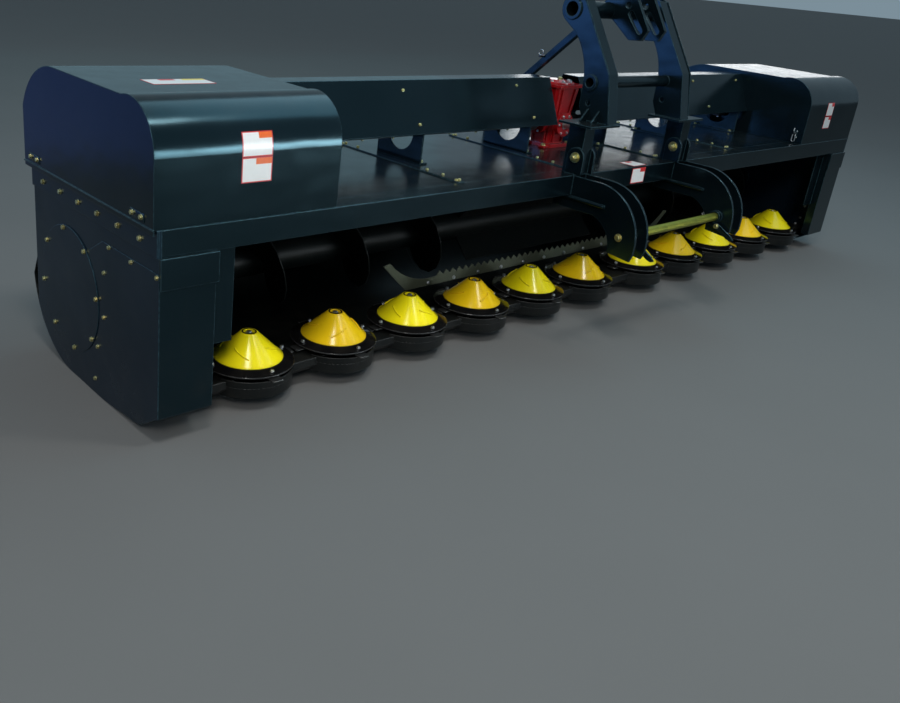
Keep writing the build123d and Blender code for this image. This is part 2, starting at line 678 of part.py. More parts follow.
# Each flight is lofted through sections set round the tube, as flat between two sections as a pressed one
HUG_RADIUS = (ROTOR_TUBE_RADIUS + FLIGHT_GAP) / cos(pi / FLIGHT_STEPS)
with BuildPart() as flights:
    for sign in SIDES:
        for step in range(FLIGHT_TURNS * FLIGHT_STEPS + 1):
            turn = 2 * pi * step / FLIGHT_STEPS
            outward = Vector(0, cos(turn), sign * sin(turn))
            middle = (FLIGHT_RADIUS + HUG_RADIUS) / 2
            advance = Vector(sign * FLIGHT_PITCH / (2 * pi * middle), -sin(turn), sign * cos(turn))
            x = sign * (FLIGHT_START + FLIGHT_PITCH * step / FLIGHT_STEPS)
            center = Vector(x, FRONT_Y + ROTOR_Y, ROTOR_Z) + outward * middle
            with BuildSketch(Plane(origin=center, x_dir=outward, z_dir=advance)):
                Rectangle(FLIGHT_RADIUS - HUG_RADIUS, FLIGHT_THICKNESS)
        loft(ruled=True)
save(flights, "rotor_flights")

# Paddles between the flights, that throw the stalks out through the outlet
with BuildPart() as paddles:
    with BuildSketch(across(-PADDLE_HALF)):
        with Locations((ROTOR_Y, ROTOR_Z)):
            with PolarLocations((PADDLE_RADIUS + ROTOR_TUBE_RADIUS) / 2, PADDLES, start_angle=45):
                Rectangle(PADDLE_RADIUS - ROTOR_TUBE_RADIUS, PADDLE_THICKNESS)
    extrude(amount=2 * PADDLE_HALF)
save(paddles, "rotor_paddles")

# Serrated sill plate behind the discs, with its ends drawn up into hooks
TOOTH_SPAN = TEETH * TOOTH_PITCH / 2
SILL_HALF = TOOTH_SPAN + HOOK_BASE
with BuildPart() as sill:
    with BuildSketch(upright(0, SILL_Y)):
        with BuildLine():
            ridge = SILL_BOTTOM_Z + SILL_HEIGHT
            crest = [(-TOOTH_SPAN, ridge)]
            for i in range(TEETH):
                x = -TOOTH_SPAN + i * TOOTH_PITCH
                crest += [(x + TOOTH_PITCH * TOOTH_SKEW, ridge + TOOTH_HEIGHT), (x + TOOTH_PITCH, ridge)]
            Polyline(*crest)
            for end in (1, -1):
                corner = (end * (SILL_HALF + HOOK_RUN), SILL_BOTTOM_Z + HOOK_RISE)
                tip = (corner[0] - end * HOOK_TIP[0], corner[1] + HOOK_TIP[1])
                ThreePointArc((end * TOOTH_SPAN, ridge),
                              (end * (SILL_HALF - HOOK_SAG), ridge + HOOK_SAG / 3), tip)
                Polyline(tip, corner, (end * SILL_HALF, SILL_BOTTOM_Z))
            Line((SILL_HALF, SILL_BOTTOM_Z), (-SILL_HALF, SILL_BOTTOM_Z))
        make_face()
    extrude(amount=SILL_THICKNESS)
save(sill, "serrated_sill")

# Upright plate that carries the sill from the casing's floor
CARRIER_FOOT = FLOOR_Z + CARRIER_SEAT
with BuildPart() as carrier:
    with BuildSketch(across(-SILL_HALF)):
        with BuildLine():
            Polyline((SILL_Y, CARRIER_FOOT), (SILL_Y + CARRIER_TOE, CARRIER_FOOT),
                     (SILL_Y + CARRIER_TOE, CARRIER_FOOT + SILL_THICKNESS),
                     (SILL_Y + SILL_THICKNESS, CARRIER_FOOT + SILL_THICKNESS),
                     (SILL_Y + SILL_THICKNESS, SILL_BOTTOM_Z + SILL_HEIGHT / 2),
                     (SILL_Y, SILL_BOTTOM_Z + SILL_HEIGHT / 2), close=True)
        make_face()
    extrude(amount=2 * SILL_HALF)
save(carrier, "sill_carrier")

# Hitch plates in two pairs, hooked forward and down from the front beam, with ribs and the bar's collars
PLATES = ((-PAIR_OUTER, -1), (-PAIR_INNER, 1), (PAIR_INNER, -1), (PAIR_OUTER, 1))
with BuildPart() as hitch:
    for x, away in PLATES:
        face = x + away * HITCH_PLATE / 2
        with BuildSketch(across(x - HITCH_PLATE / 2, DECK_Z)):
            with BuildLine():
                Line((0, 0), HITCH_BACK[0])
                ThreePointArc(*HITCH_BACK)
                Polyline(HITCH_BACK[-1], *HITCH_TOE, HITCH_THROAT[0])
                ThreePointArc(*HITCH_THROAT)
                tail = HITCH_THROAT[-1][1]
                Polyline(HITCH_THROAT[-1], (BEAM, tail), (BEAM, -BEAM), (0, -BEAM), (0, 0))
            make_face()
        extrude(amount=HITCH_PLATE)
        rib_x = face + away * (RIB_RADIUS - RIB_BITE)
        with BuildSketch(upright(rib_x, RIB_FRONT, DECK_Z - RIB_DROP, facing=1)):
            Circle(RIB_RADIUS)
        extrude(amount=RIB_REAR - RIB_FRONT)
        if x * away < 0:
            with BuildSketch(across(face, DECK_Z)):
                with Locations((HITCH_Y, -HITCH_DROP)):
                    Circle(COLLAR_RADIUS)
                    Circle(HITCH_BAR_RADIUS + FIT, mode=Mode.SUBTRACT)
            extrude(amount=away * COLLAR_LENGTH)
save(hitch, "hitch_plates")

# Link pins between the plates of each pair, and the bar that joins the pairs
with BuildPart() as link_pins:
    for sign in SIDES:
        with BuildSketch(across(sign * (PAIR_INNER + HITCH_PLATE / 2), DECK_Z)):
            with Locations((HITCH_Y, -HITCH_DROP)):
                Circle(LINK_PIN_RADIUS)
        extrude(amount=sign * (PAIR_OUTER - PAIR_INNER - HITCH_PLATE))
save(link_pins, "link_pins")

with BuildPart() as hitch_bar:
    bar_half = PAIR_INNER - HITCH_PLATE / 2
    with BuildSketch(across(-bar_half, DECK_Z)):
        with Locations((HITCH_Y, -HITCH_DROP)):
            Circle(HITCH_BAR_RADIUS)
    extrude(amount=2 * bar_half)
save(hitch_bar, "lower_hitch_bar")

# Posts on the front beam, with side lugs, and the foot plates on top
with BuildPart() as mast_posts:
    for sign in SIDES:
        with BuildSketch(level(DECK_Z)):
            with Locations((sign * POST_X, POST_BOX_DEPTH / 2)):
                Rectangle(POST_BOX, POST_BOX_DEPTH)
                Rectangle(POST_BOX - 2 * POST_WALL, POST_BOX_DEPTH - 2 * POST_WALL, mode=Mode.SUBTRACT)
        extrude(amount=POST_HEIGHT)
        with BuildSketch(level(DECK_Z + POST_HEIGHT)):
            with Locations((sign * (FOOT_INNER + FOOT_OUTER) / 2, FOOT_CENTER_Y)):
                Rectangle(FOOT_OUTER - FOOT_INNER, FOOT_DEPTH)
        extrude(amount=FOOT_PLATE)
        for face in (POST_X - POST_BOX / 2 - LUG_PLATE, POST_X + POST_BOX / 2):
            with BuildSketch(across(sign * face, DECK_Z)):
                with Locations((LUG_Y, LUG_HEIGHT / 2)):
                    Rectangle(2 * LUG_RADIUS, LUG_HEIGHT)
                with Locations((LUG_Y, LUG_HEIGHT)):
                    Circle(LUG_RADIUS)
            extrude(amount=sign * LUG_PLATE)
save(mast_posts, "mast_posts")

# Mast legs, channels of two side plates and a front flange
with BuildPart() as mast:
    for sign in SIDES:
        for face, inwards in ((MAST_OUTER, -1), (MAST_INNER, 1)):
            with BuildSketch(across(sign * face, DECK_Z)):
                with BuildLine():
                    Polyline(MAST_FOOT, MAST_KNEE, MAST_CROWN[0])
                    ThreePointArc(*MAST_CROWN)
                    Line(MAST_CROWN[-1], MAST_WAIST[0])
                    ThreePointArc(*MAST_WAIST)
                    Polyline(MAST_WAIST[-1], *MAST_HEEL, MAST_FOOT)
                make_face()
                for place, radius in ((LOWER_TUBE, LOWER_TUBE_RADIUS), (UPPER_TUBE, UPPER_TUBE_RADIUS),
                                      (MAST_HOLE, MAST_HOLE_RADIUS)):
                    with Locations(place):
                        Circle(radius, mode=Mode.SUBTRACT)
            extrude(amount=sign * inwards * MAST_PLATE)
        with BuildSketch(across(sign * MAST_INNER, DECK_Z)):
            with BuildLine():
                Polyline(MAST_FOOT, MAST_KNEE, MAST_CROWN[0])
                offset(amount=MAST_PLATE, side=Side.RIGHT)
            make_face()
            with Locations((MAST_FOOT[0], MAST_FOOT[1] - MAST_PLATE)):
                Rectangle(4 * MAST_PLATE, 2 * MAST_PLATE, mode=Mode.SUBTRACT)
        extrude(amount=sign * (MAST_OUTER - MAST_INNER))
save(mast, "mast_plates")

# Mast tubes through both legs, with rings outside them
with BuildPart() as mast_tubes:
    for place, radius in ((LOWER_TUBE, LOWER_TUBE_RADIUS), (UPPER_TUBE, UPPER_TUBE_RADIUS)):
        with BuildSketch(across(-MAST_OUTER, DECK_Z)):
            with Locations(place):
                Circle(radius)
        extrude(amount=2 * MAST_OUTER)
        for sign in SIDES:
            with BuildSketch(across(sign * MAST_OUTER, DECK_Z)):
                with Locations(place):
                    Circle(radius + TUBE_RING)
            extrude(amount=sign * TUBE_RING)
        with BuildSketch(across(0, DECK_Z)):
            with Locations(place):
                Circle(radius - TUBE_WALL)
        extrude(amount=MAST_OUTER + TUBE_RING, both=True, mode=Mode.SUBTRACT)
save(mast_tubes, "mast_tubes")

# Clevis for the top link, two slotted lugs on the upper tube
with BuildPart() as clevis:
    for sign in SIDES:
        with BuildSketch(across(sign * CLEVIS_X - CLEVIS_PLATE / 2, DECK_Z)):
            with BuildLine():
                Polyline(*CLEVIS_BACK, *CLEVIS_NOSE, close=True)
            make_face()
            with Locations(UPPER_TUBE):
                Circle(UPPER_TUBE_RADIUS, mode=Mode.SUBTRACT)
            with Locations(TOP_PIN):
                Circle(TOP_PIN_RADIUS, mode=Mode.SUBTRACT)
            with Locations(CLEVIS_SLOT):
                SlotOverall(CLEVIS_SLOT_LENGTH, 2 * TOP_PIN_RADIUS, rotation=CLEVIS_SLOT_SLOPE,
                            mode=Mode.SUBTRACT)
        extrude(amount=CLEVIS_PLATE)
save(clevis, "top_link_clevis")

# Brace resting on the upper tube, down to a bracket on the rear beam
along = Vector(cos(radians(BRACE_SLOPE)), -sin(radians(BRACE_SLOPE)))
above = Vector(sin(radians(BRACE_SLOPE)), cos(radians(BRACE_SLOPE)))
BRACE_SEAT = Vector(*UPPER_TUBE) + above * (UPPER_TUBE_RADIUS + BRACE / 2)
BRACE_TOP = BRACE_SEAT - along * BRACE
BRACE_FOOT = BRACE_SEAT + along * ((PLATE_REAR - BEAM / 2 - BRACE_SEAT.X) / along.X)
with BuildPart() as brace:
    with BuildSketch(across(-BRACE / 2, DECK_Z)):
        with BuildLine():
            Polyline(BRACE_TOP + above * (BRACE / 2), BRACE_FOOT + above * (BRACE / 2),
                     BRACE_FOOT - above * (BRACE / 2), BRACE_TOP - above * (BRACE / 2), close=True)
        make_face()
    extrude(amount=BRACE)
save(brace, "mast_brace")

BRACKET_HEIGHT = BRACE_FOOT.Y + BRACE
with BuildPart() as bracket:
    for sign in SIDES:
        with BuildSketch(across(sign * (BRACE / 2 + BRACKET_PLATE / 2) - BRACKET_PLATE / 2, DECK_Z)):
            with Locations((PLATE_REAR - BEAM / 2, BRACKET_HEIGHT / 2)):
                Rectangle(BRACKET_WIDTH, BRACKET_HEIGHT)
        extrude(amount=BRACKET_PLATE)
save(bracket, "brace_bracket")
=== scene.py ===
"""Paint, bolts, pins, ribs, knives, blank labels, floor, lamps and camera of a cotton stalk harvester."""
import math

import bmesh
import bpy
from bpy.props import FloatProperty, FloatVectorProperty, IntProperty, PointerProperty
from mathutils import Matrix, Vector


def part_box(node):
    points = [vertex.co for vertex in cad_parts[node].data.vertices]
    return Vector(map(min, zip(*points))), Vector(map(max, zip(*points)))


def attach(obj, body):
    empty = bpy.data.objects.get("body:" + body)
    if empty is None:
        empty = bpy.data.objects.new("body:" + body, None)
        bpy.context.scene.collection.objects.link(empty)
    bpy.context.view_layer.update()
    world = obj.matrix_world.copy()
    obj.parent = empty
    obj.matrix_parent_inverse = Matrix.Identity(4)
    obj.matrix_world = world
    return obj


bl_info = {
    "name": "Cotton Stalk Harvester",
    "version": (1, 0, 0),
    "blender": (4, 5, 0),
    "location": "3D View > Sidebar > Harvester",
    "description": "Adds the paint, fasteners, ribs and labels of a cotton stalk harvester",
    "category": "Object",
}

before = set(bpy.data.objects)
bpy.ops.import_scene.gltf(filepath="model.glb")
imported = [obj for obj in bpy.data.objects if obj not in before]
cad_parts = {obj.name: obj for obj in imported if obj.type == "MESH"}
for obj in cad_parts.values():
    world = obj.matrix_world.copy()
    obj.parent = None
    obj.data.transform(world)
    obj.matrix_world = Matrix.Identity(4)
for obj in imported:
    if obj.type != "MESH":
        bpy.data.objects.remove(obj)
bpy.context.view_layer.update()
MM = 0.001
BEAM_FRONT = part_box("front_beam")[0].y
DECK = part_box("front_beam")[1].z
SIDES = (-1, 1)
NAMED_SIDES = (("left", -1), ("right", 1))
CUTTERS = range(1, 12)

# Faces and centre lines of the frame, in millimetres from the middle, the front beam's face and the deck
PLATE_FACE = 2880.0
PLATE_INNER_FACE = 2870.0
RAIL_FACE = 2888.0
COVER_FACE = 2885.0
COVER_RADIUS = 267.0
HOOD_FACE = 2900.0
HOOD_INNER_FACE = 2095.0
ROTOR = (732.0, -458.0)
SHAFT = (605.0, 135.0)
HITCH_BAR = (-321.0, -236.0)
DISC_Y = 215.0
DISC_X = [sum(corner.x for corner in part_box(f"disc_{n}")) / 2 / MM for n in CUTTERS]


def spot(x, y, z):
    """Point x from the middle, y behind the front beam's face and z above the deck, in millimetres."""
    return Vector((x * MM, BEAM_FRONT + y * MM, DECK + z * MM))


def cutter_axis(x, z):
    """Upright place on the axis of the cutter at x, z above the deck, in millimetres."""
    return Matrix.Translation(spot(x, DISC_Y, z))


def facing(point, out, turn=0.0):
    """Place whose own Z axis points out, turned about that axis by an angle in degrees."""
    aimed = Vector(out).to_track_quat("Z", "Y").to_matrix().to_4x4()
    return Matrix.Translation(point) @ (aimed @ Matrix.Rotation(math.radians(turn), 4, "Z"))


def side_plane(sign):
    """Place for an outline seen from one side: rearwards and up in millimetres, outwards in metres."""
    return Matrix(((0, 0, sign, 0), (MM, 0, 0, BEAM_FRONT), (0, MM, 0, DECK), (0, 0, 0, 1)))


def arc(centre, radius, start, step, count):
    """Pairs of numbers round a centre, from a start on by equal steps, both in degrees."""
    turns = [math.radians(start + step * i) for i in range(count)]
    return [(centre[0] + radius * math.cos(turn), centre[1] + radius * math.sin(turn)) for turn in turns]


# Sizes and colours that a user may change


class HarvesterLook(bpy.types.PropertyGroup):
    """Colours and wear of the paint."""

    body_colour: FloatVectorProperty(
        name="Body", description="Paint of beams, deck, guards and hoods", subtype="COLOR",
        size=3, min=0, max=1, default=(0.0016, 0.0050, 0.0072))
    # Lighter and bluer than the body paint: partly the plates' own tone, partly a painted blue reflection on
    # these side faces
    plate_colour_with_side_sheen: FloatVectorProperty(
        name="End Plates", description="Paint of the end plates and rails", subtype="COLOR",
        size=3, min=0, max=1, default=(0.0033, 0.0090, 0.0175))
    yellow: FloatVectorProperty(
        name="Yellow Cones", description="Paint of every other cone", subtype="COLOR",
        size=3, min=0, max=1, default=(0.86, 0.72, 0.006))
    orange: FloatVectorProperty(
        name="Orange Cones", description="Paint of the cones between", subtype="COLOR",
        size=3, min=0, max=1, default=(0.84, 0.54, 0.006))
    red: FloatVectorProperty(
        name="Gearbox", description="Paint of the gearbox", subtype="COLOR",
        size=3, min=0, max=1, default=(0.44, 0.004, 0.007))
    dust: FloatProperty(
        name="Dust", description="How much field dust lies on the paint", subtype="FACTOR",
        min=0, max=1, default=0.10)


class HarvesterSizes(bpy.types.PropertyGroup):
    """Sizes of the small parts."""

    bolt: FloatProperty(
        name="Bolt", description="Thread diameter of the panel bolts", unit="LENGTH", min=0.006, max=0.02,
        default=0.0105)
    rib: FloatProperty(
        name="Cone Rib", description="Thickness of the ribs on the cones", unit="LENGTH", min=0.003, max=0.01,
        default=0.006)
    ribs: IntProperty(
        name="Ribs per Cone", description="Number of slanted ribs on each cone", min=2, max=8, default=4)
    knife: FloatProperty(
        name="Knife", description="Thickness of the cutting knives", unit="LENGTH", min=0.003, max=0.01,
        default=0.0052)
    label_lift: FloatProperty(
        name="Label Thickness", description="How far a label stands off the paint", unit="LENGTH",
        min=0.0002, max=0.002, default=0.0006)


# Shaders


class Value:
    """A shader socket that takes part in Python sums, each of which adds its Math node."""

    def __init__(self, shader, socket):
        self.shader = shader
        self.socket = socket

    def math(self, operation, *terms, clamp=False):
        """Adds one Math node."""
        settings = {"operation": operation, "use_clamp": clamp}
        return self.shader.add("ShaderNodeMath", settings, dict(enumerate(terms)))

    def __add__(self, other):
        return self.math("ADD", self, other)

    def __radd__(self, other):
        return self.math("ADD", other, self)

    def __sub__(self, other):
        return self.math("SUBTRACT", self, other)

    def __rsub__(self, other):
        return self.math("SUBTRACT", other, self)

    def __mul__(self, other):
        return self.math("MULTIPLY", self, other)

    def __rmul__(self, other):
        return self.math("MULTIPLY", other, self)

    def limited(self):
        """The value held between 0 and 1."""
        return self.math("ADD", self, 0.0, clamp=True)

    def ramp(self, low, high):
        """0 below low, 1 above high and a straight rise between."""
        return self.math("DIVIDE", self - low, high - low, clamp=True)


class Shader:
    """A material with one Principled shader, built from Python expressions."""

    def __init__(self, name, **constants):
        self.material = bpy.data.materials.new(name)
        self.material.use_nodes = True
        self.tree = self.material.node_tree
        self.surface = self.tree.nodes["Principled BSDF"]
        for socket, constant in constants.items():
            label = socket.replace("_", " ").title().replace("Ior", "IOR")
            self.surface.inputs[label].default_value = constant

    def add(self, kind, settings=None, inputs=None, out=0):
        """Adds a node: its settings first, then the values or links of its sockets."""
        node = self.tree.nodes.new(kind)
        for key, setting in (settings or {}).items():
            setattr(node, key, setting)
        for key, given in (inputs or {}).items():
            self.put(node.inputs[key], given)
        return Value(self, node.outputs[out])

    def put(self, socket, given):
        """Links a value to a socket, or writes a constant on it."""
        if isinstance(given, Value):
            self.tree.links.new(given.socket, socket)
        elif socket.type == "RGBA" and len(given) == 3:
            socket.default_value = (*given, 1.0)
        else:
            socket.default_value = given

    def place(self):
        """Position in the machine, in metres."""
        return self.add("ShaderNodeTexCoord", out="Object")

    def stretched(self, vector, scale):
        """Position multiplied along each axis."""
        return self.add("ShaderNodeVectorMath", {"operation": "MULTIPLY"}, {0: vector, 1: scale})

    def part(self, vector, axis):
        """One of the three numbers of a vector."""
        return self.add("ShaderNodeSeparateXYZ", inputs={0: vector}, out=axis)

    def noise(self, vector, scale, detail, roughness=0.55):
        """Cloudy noise from 0 to 1."""
        inputs = {"Vector": vector, "Scale": scale, "Detail": detail, "Roughness": roughness}
        return self.add("ShaderNodeTexNoise", inputs=inputs)

    def mix(self, factor, first, second):
        """One colour over another."""
        return self.add("ShaderNodeMix", {"data_type": "RGBA"}, {0: factor, 6: first, 7: second}, out=2)

    def edges(self, radius):
        """1 on sharp outer edges and 0 on flat faces, with the rounded normal."""
        rounded = self.add("ShaderNodeBevel", {"samples": 4}, {"Radius": radius})
        flat = self.add("ShaderNodeNewGeometry", out="Normal")
        settings = {"operation": "DOT_PRODUCT"}
        same = self.add("ShaderNodeVectorMath", settings, {0: rounded, 1: flat}, out="Value")
        return (1.0 - same).ramp(0.02, 0.25), rounded

    def bump(self, height, distance, normal, strength):
        """Normal of a surface raised by height, on top of another normal or none."""
        inputs = {"Height": height, "Distance": distance, "Strength": strength}
        if normal:
            inputs["Normal"] = normal
        return self.add("ShaderNodeBump", inputs=inputs)

    def finish(self, colour, roughness, normal=None, metallic=None):
        """Feeds the surface and gives the material."""
        self.put(self.surface.inputs["Base Color"], colour)
        self.put(self.surface.inputs["Roughness"], roughness)
        if normal:
            self.put(self.surface.inputs["Normal"], normal)
        if metallic:
            self.put(self.surface.inputs["Metallic"], metallic)
        return self.material


DUST = (0.16, 0.125, 0.085)
RUST = (0.19, 0.085, 0.03)
WORN_ZINC = (0.75, 0.72, 0.62)
WORN_STEEL = (0.62, 0.61, 0.57)
SCUFFED_FILM = (0.42, 0.40, 0.36)
# Teal tint of the paint's reflections, also the hue of the painted highlight on its edges
TEAL_SHEEN = (0.40, 0.80, 0.96)


def gloss_paint(name, colour, dust, roughness=0.14, wave=0.5, coat=0.0, edge=0.5, mirror=0.36,
                tint=(1.0, 1.0, 1.0)):
    """Sprayed gloss paint: slow change of shade, wavy sheet, orange peel, settled dust, and lighter edges,
    partly worn paint and partly painted highlight.
    """
    shader = Shader(name, coat_weight=coat, coat_roughness=0.05, specular_ior_level=mirror,
                    specular_tint=(*tint, 1.0))
    place = shader.place()
    broad = shader.noise(place, 1.7, 3.0)
    cloud = shader.noise(place, 11.0, 5.0, 0.65)
    peel = shader.noise(place, 420.0, 2.0)
    upward = shader.part(shader.add("ShaderNodeTexCoord", out="Normal"), "Z")
    height = shader.part(place, "Z")
    edge_mask, rounded = shader.edges(0.006)
    lies = upward.ramp(0.55, 1.0) * cloud.ramp(0.35, 0.75) * 0.55
    splashed = (1.0 - height.ramp(0.02, 0.45)) * cloud.ramp(0.45, 0.8) * 0.6
    streak = shader.noise(shader.stretched(place, (22.0, 22.0, 1.4)), 1.0, 3.0).ramp(0.62, 0.85) * 0.18
    grime = ((lies + splashed + streak) * dust).limited()
    deep = tuple(0.72 * c for c in colour)
    pale = tuple(1.25 * c + 0.002 for c in colour)
    shade = shader.mix(broad.ramp(0.3, 0.7), deep, pale)
    # Edges lightened towards the tint: partly worn paint, partly a painted highlight along them
    worn_edge_and_highlight = edge_mask * shader.noise(place, 60.0, 4.0).ramp(0.25, 0.6) * edge
    shade = shader.mix(worn_edge_and_highlight, shade, tuple(0.5 * c + 0.26 * sheen for c, sheen in zip(colour, tint)))
    shade = shader.mix(grime, shade, DUST)
    wavy = shader.noise(shader.stretched(place, (2.2, 3.0, 5.0)), 1.0, 2.0)
    normal = shader.bump(wavy, 0.02 * wave, rounded, 0.35)
    normal = shader.bump(peel, 0.00012, normal, 0.5)
    return shader.finish(shade, roughness + 0.10 * cloud + 0.45 * grime, normal)


def plated(name, colour, tint, roughness=0.32):
    """Zinc plating: bright metal whose hue drifts, duller in patches."""
    shader = Shader(name)
    place = shader.place()
    hue = shader.noise(place, 38.0, 3.0)
    spots = shader.noise(place, 320.0, 4.0, 0.7)
    edge_mask, rounded = shader.edges(0.0015)
    shade = shader.mix(hue.ramp(0.35, 0.65), colour, tint)
    shade = shader.mix(edge_mask * 0.5, shade, WORN_ZINC)
    normal = shader.bump(spots, 0.0001, rounded, 0.6)
    return shader.finish(shade, roughness + 0.22 * spots, normal, 1.0 - 0.25 * spots.ramp(0.6, 0.8))


def rolled_steel(name, colour, stain, along, roughness, metallic=0.85):
    """Bare plate: rolling streaks along one way, with stains and a trace of rust."""
    shader = Shader(name)
    place = shader.place()
    streak = shader.noise(shader.stretched(place, along), 1.0, 4.0, 0.7)
    patch = shader.noise(place, 14.0, 5.0, 0.6)
    fleck = shader.noise(place, 210.0, 3.0, 0.7)
    edge_mask, rounded = shader.edges(0.0015)
    shade = shader.mix(patch.ramp(0.4, 0.7), colour, stain)
    shade = shader.mix(streak.ramp(0.35, 0.8) * 0.35, shade, tuple(0.55 * c for c in colour))
    rust = patch.ramp(0.62, 0.8) * fleck.ramp(0.5, 0.7) * 0.5
    shade = shader.mix(rust, shade, RUST)
    shade = shader.mix(edge_mask * 0.6, shade, WORN_STEEL)
    normal = shader.bump(streak + 0.5 * fleck, 0.00025, rounded, 0.6)
    return shader.finish(shade, roughness + 0.2 * patch, normal, metallic - 0.6 * rust)


def film(name, colour):
    """Printed label film, a little faded and scuffed, with nothing written on it."""
    shader = Shader(name, coat_weight=0.3, coat_roughness=0.15)
    place = shader.place()
    faded = shader.noise(place, 25.0, 4.0)
    scuff = shader.noise(shader.stretched(place, (60.0, 60.0, 400.0)), 1.0, 4.0, 0.7).ramp(0.6, 0.85)
    shade = shader.mix(faded.ramp(0.4, 0.8) * 0.25, colour, tuple(0.8 * c + 0.05 for c in colour))
    shade = shader.mix(scuff * 0.2, shade, SCUFFED_FILM)
    return shader.finish(shade, 0.3 + 0.3 * scuff, shader.bump(faded, 0.0002, None, 0.3))


FINISHES = {}


def make_finishes(look):
    """Makes every material of the harvester."""
    dust = look.dust
    FINISHES.update(
        body=gloss_paint("body_paint", tuple(look.body_colour), dust, mirror=0.44, tint=TEAL_SHEEN),
        # The end plates' paint carries a painted blue reflection of the side light
        plate=gloss_paint("plate_paint", tuple(look.plate_colour_with_side_sheen), dust * 1.3, 0.2, 0.9, 0.0, mirror=0.44,
                          tint=TEAL_SHEEN),
        # Darker than the body paint: painted shade for the parts of the chamber under the deck, and for the
        # outlet's lip
        chamber=gloss_paint("chamber_paint", (0.0015, 0.003, 0.003), dust * 0.5, 0.42, 0.7, 0.0, 0.1, 0.15),
        black=gloss_paint("black_paint", (0.003, 0.003, 0.0035), dust * 0.6, 0.1, 0.1, 0.6),
        yellow=gloss_paint("yellow_paint", tuple(look.yellow), dust * 0.3, 0.12, 0.05, 0.0, 0.1, 0.28),
        orange=gloss_paint("orange_paint", tuple(look.orange), dust * 0.3, 0.12, 0.05, 0.0, 0.1, 0.28),
        red=gloss_paint("red_paint", tuple(look.red), dust * 0.6, 0.2, 0.3, 0.6, 0.2),
        casting=gloss_paint("cast_paint", (0.014, 0.02, 0.022), dust, 0.4, 0.6, 0.1),
        shoe=gloss_paint("shoe_paint", (0.004, 0.005, 0.005), dust * 0.8, 0.32, 0.1, 0.0, 0.2, 0.3),
        zinc=plated("yellow_zinc", (0.62, 0.50, 0.18), (0.50, 0.52, 0.26)),
        olive=plated("olive_zinc", (0.34, 0.33, 0.055), (0.25, 0.27, 0.05), 0.38),
        silver=plated("silver_zinc", (0.62, 0.64, 0.66), (0.55, 0.56, 0.60), 0.26),
        blade=rolled_steel("blade_steel", (0.10, 0.10, 0.10), (0.07, 0.07, 0.065), (60.0, 60.0, 60.0), 0.3),
        sill=rolled_steel("sill_steel", (0.10, 0.11, 0.075), (0.09, 0.10, 0.07), (3.0, 60.0, 60.0), 0.5, 0.5),
        turned=rolled_steel("turned_steel", (0.48, 0.48, 0.48), (0.33, 0.32, 0.30), (160.0, 8.0, 8.0), 0.3),
        white=film("white_film", (0.80, 0.80, 0.79)),
        border=film("red_film", (0.62, 0.03, 0.03)),
        signal=film("orange_film", (0.80, 0.14, 0.02)),
        tape=film("yellow_film", (0.80, 0.62, 0.05)),
    )


NODE_FINISH = {
    "body": ("front_beam", "rear_beam", "deck_panels", "end_posts", "hoods", "shaft_guards", "guard_supports",
             "hitch_plates", "mast_posts", "mast_plates", "mast_tubes", "top_link_clevis", "mast_brace",
             "brace_bracket"),
    "plate": ("end_plates", "side_rails", "bearing_covers"),
    "chamber": ("chamber_casing", "outlet_section", "rotor_tube", "rotor_flights", "rotor_paddles",
                "sill_carrier"),
    "black": tuple(f"disc_{n}" for n in CUTTERS),
    "shoe": ("cutter_bar",),
    "yellow": tuple(f"cone_{n}" for n in CUTTERS[::2]),
    "orange": tuple(f"cone_{n}" for n in CUTTERS[1::2]),
    "red": ("gearbox",),
    "casting": ("end_drives",),
    "zinc": ("link_pins",),
    "olive": ("lower_hitch_bar",),
    "sill": ("serrated_sill",),
    "turned": ("cross_shaft", "input_shaft"),
}


# Meshes

SHARP_EDGE = math.radians(35)
# How many faces a label has across and up, so that it follows a bent sheet
LABEL_FACES = (4, 12)


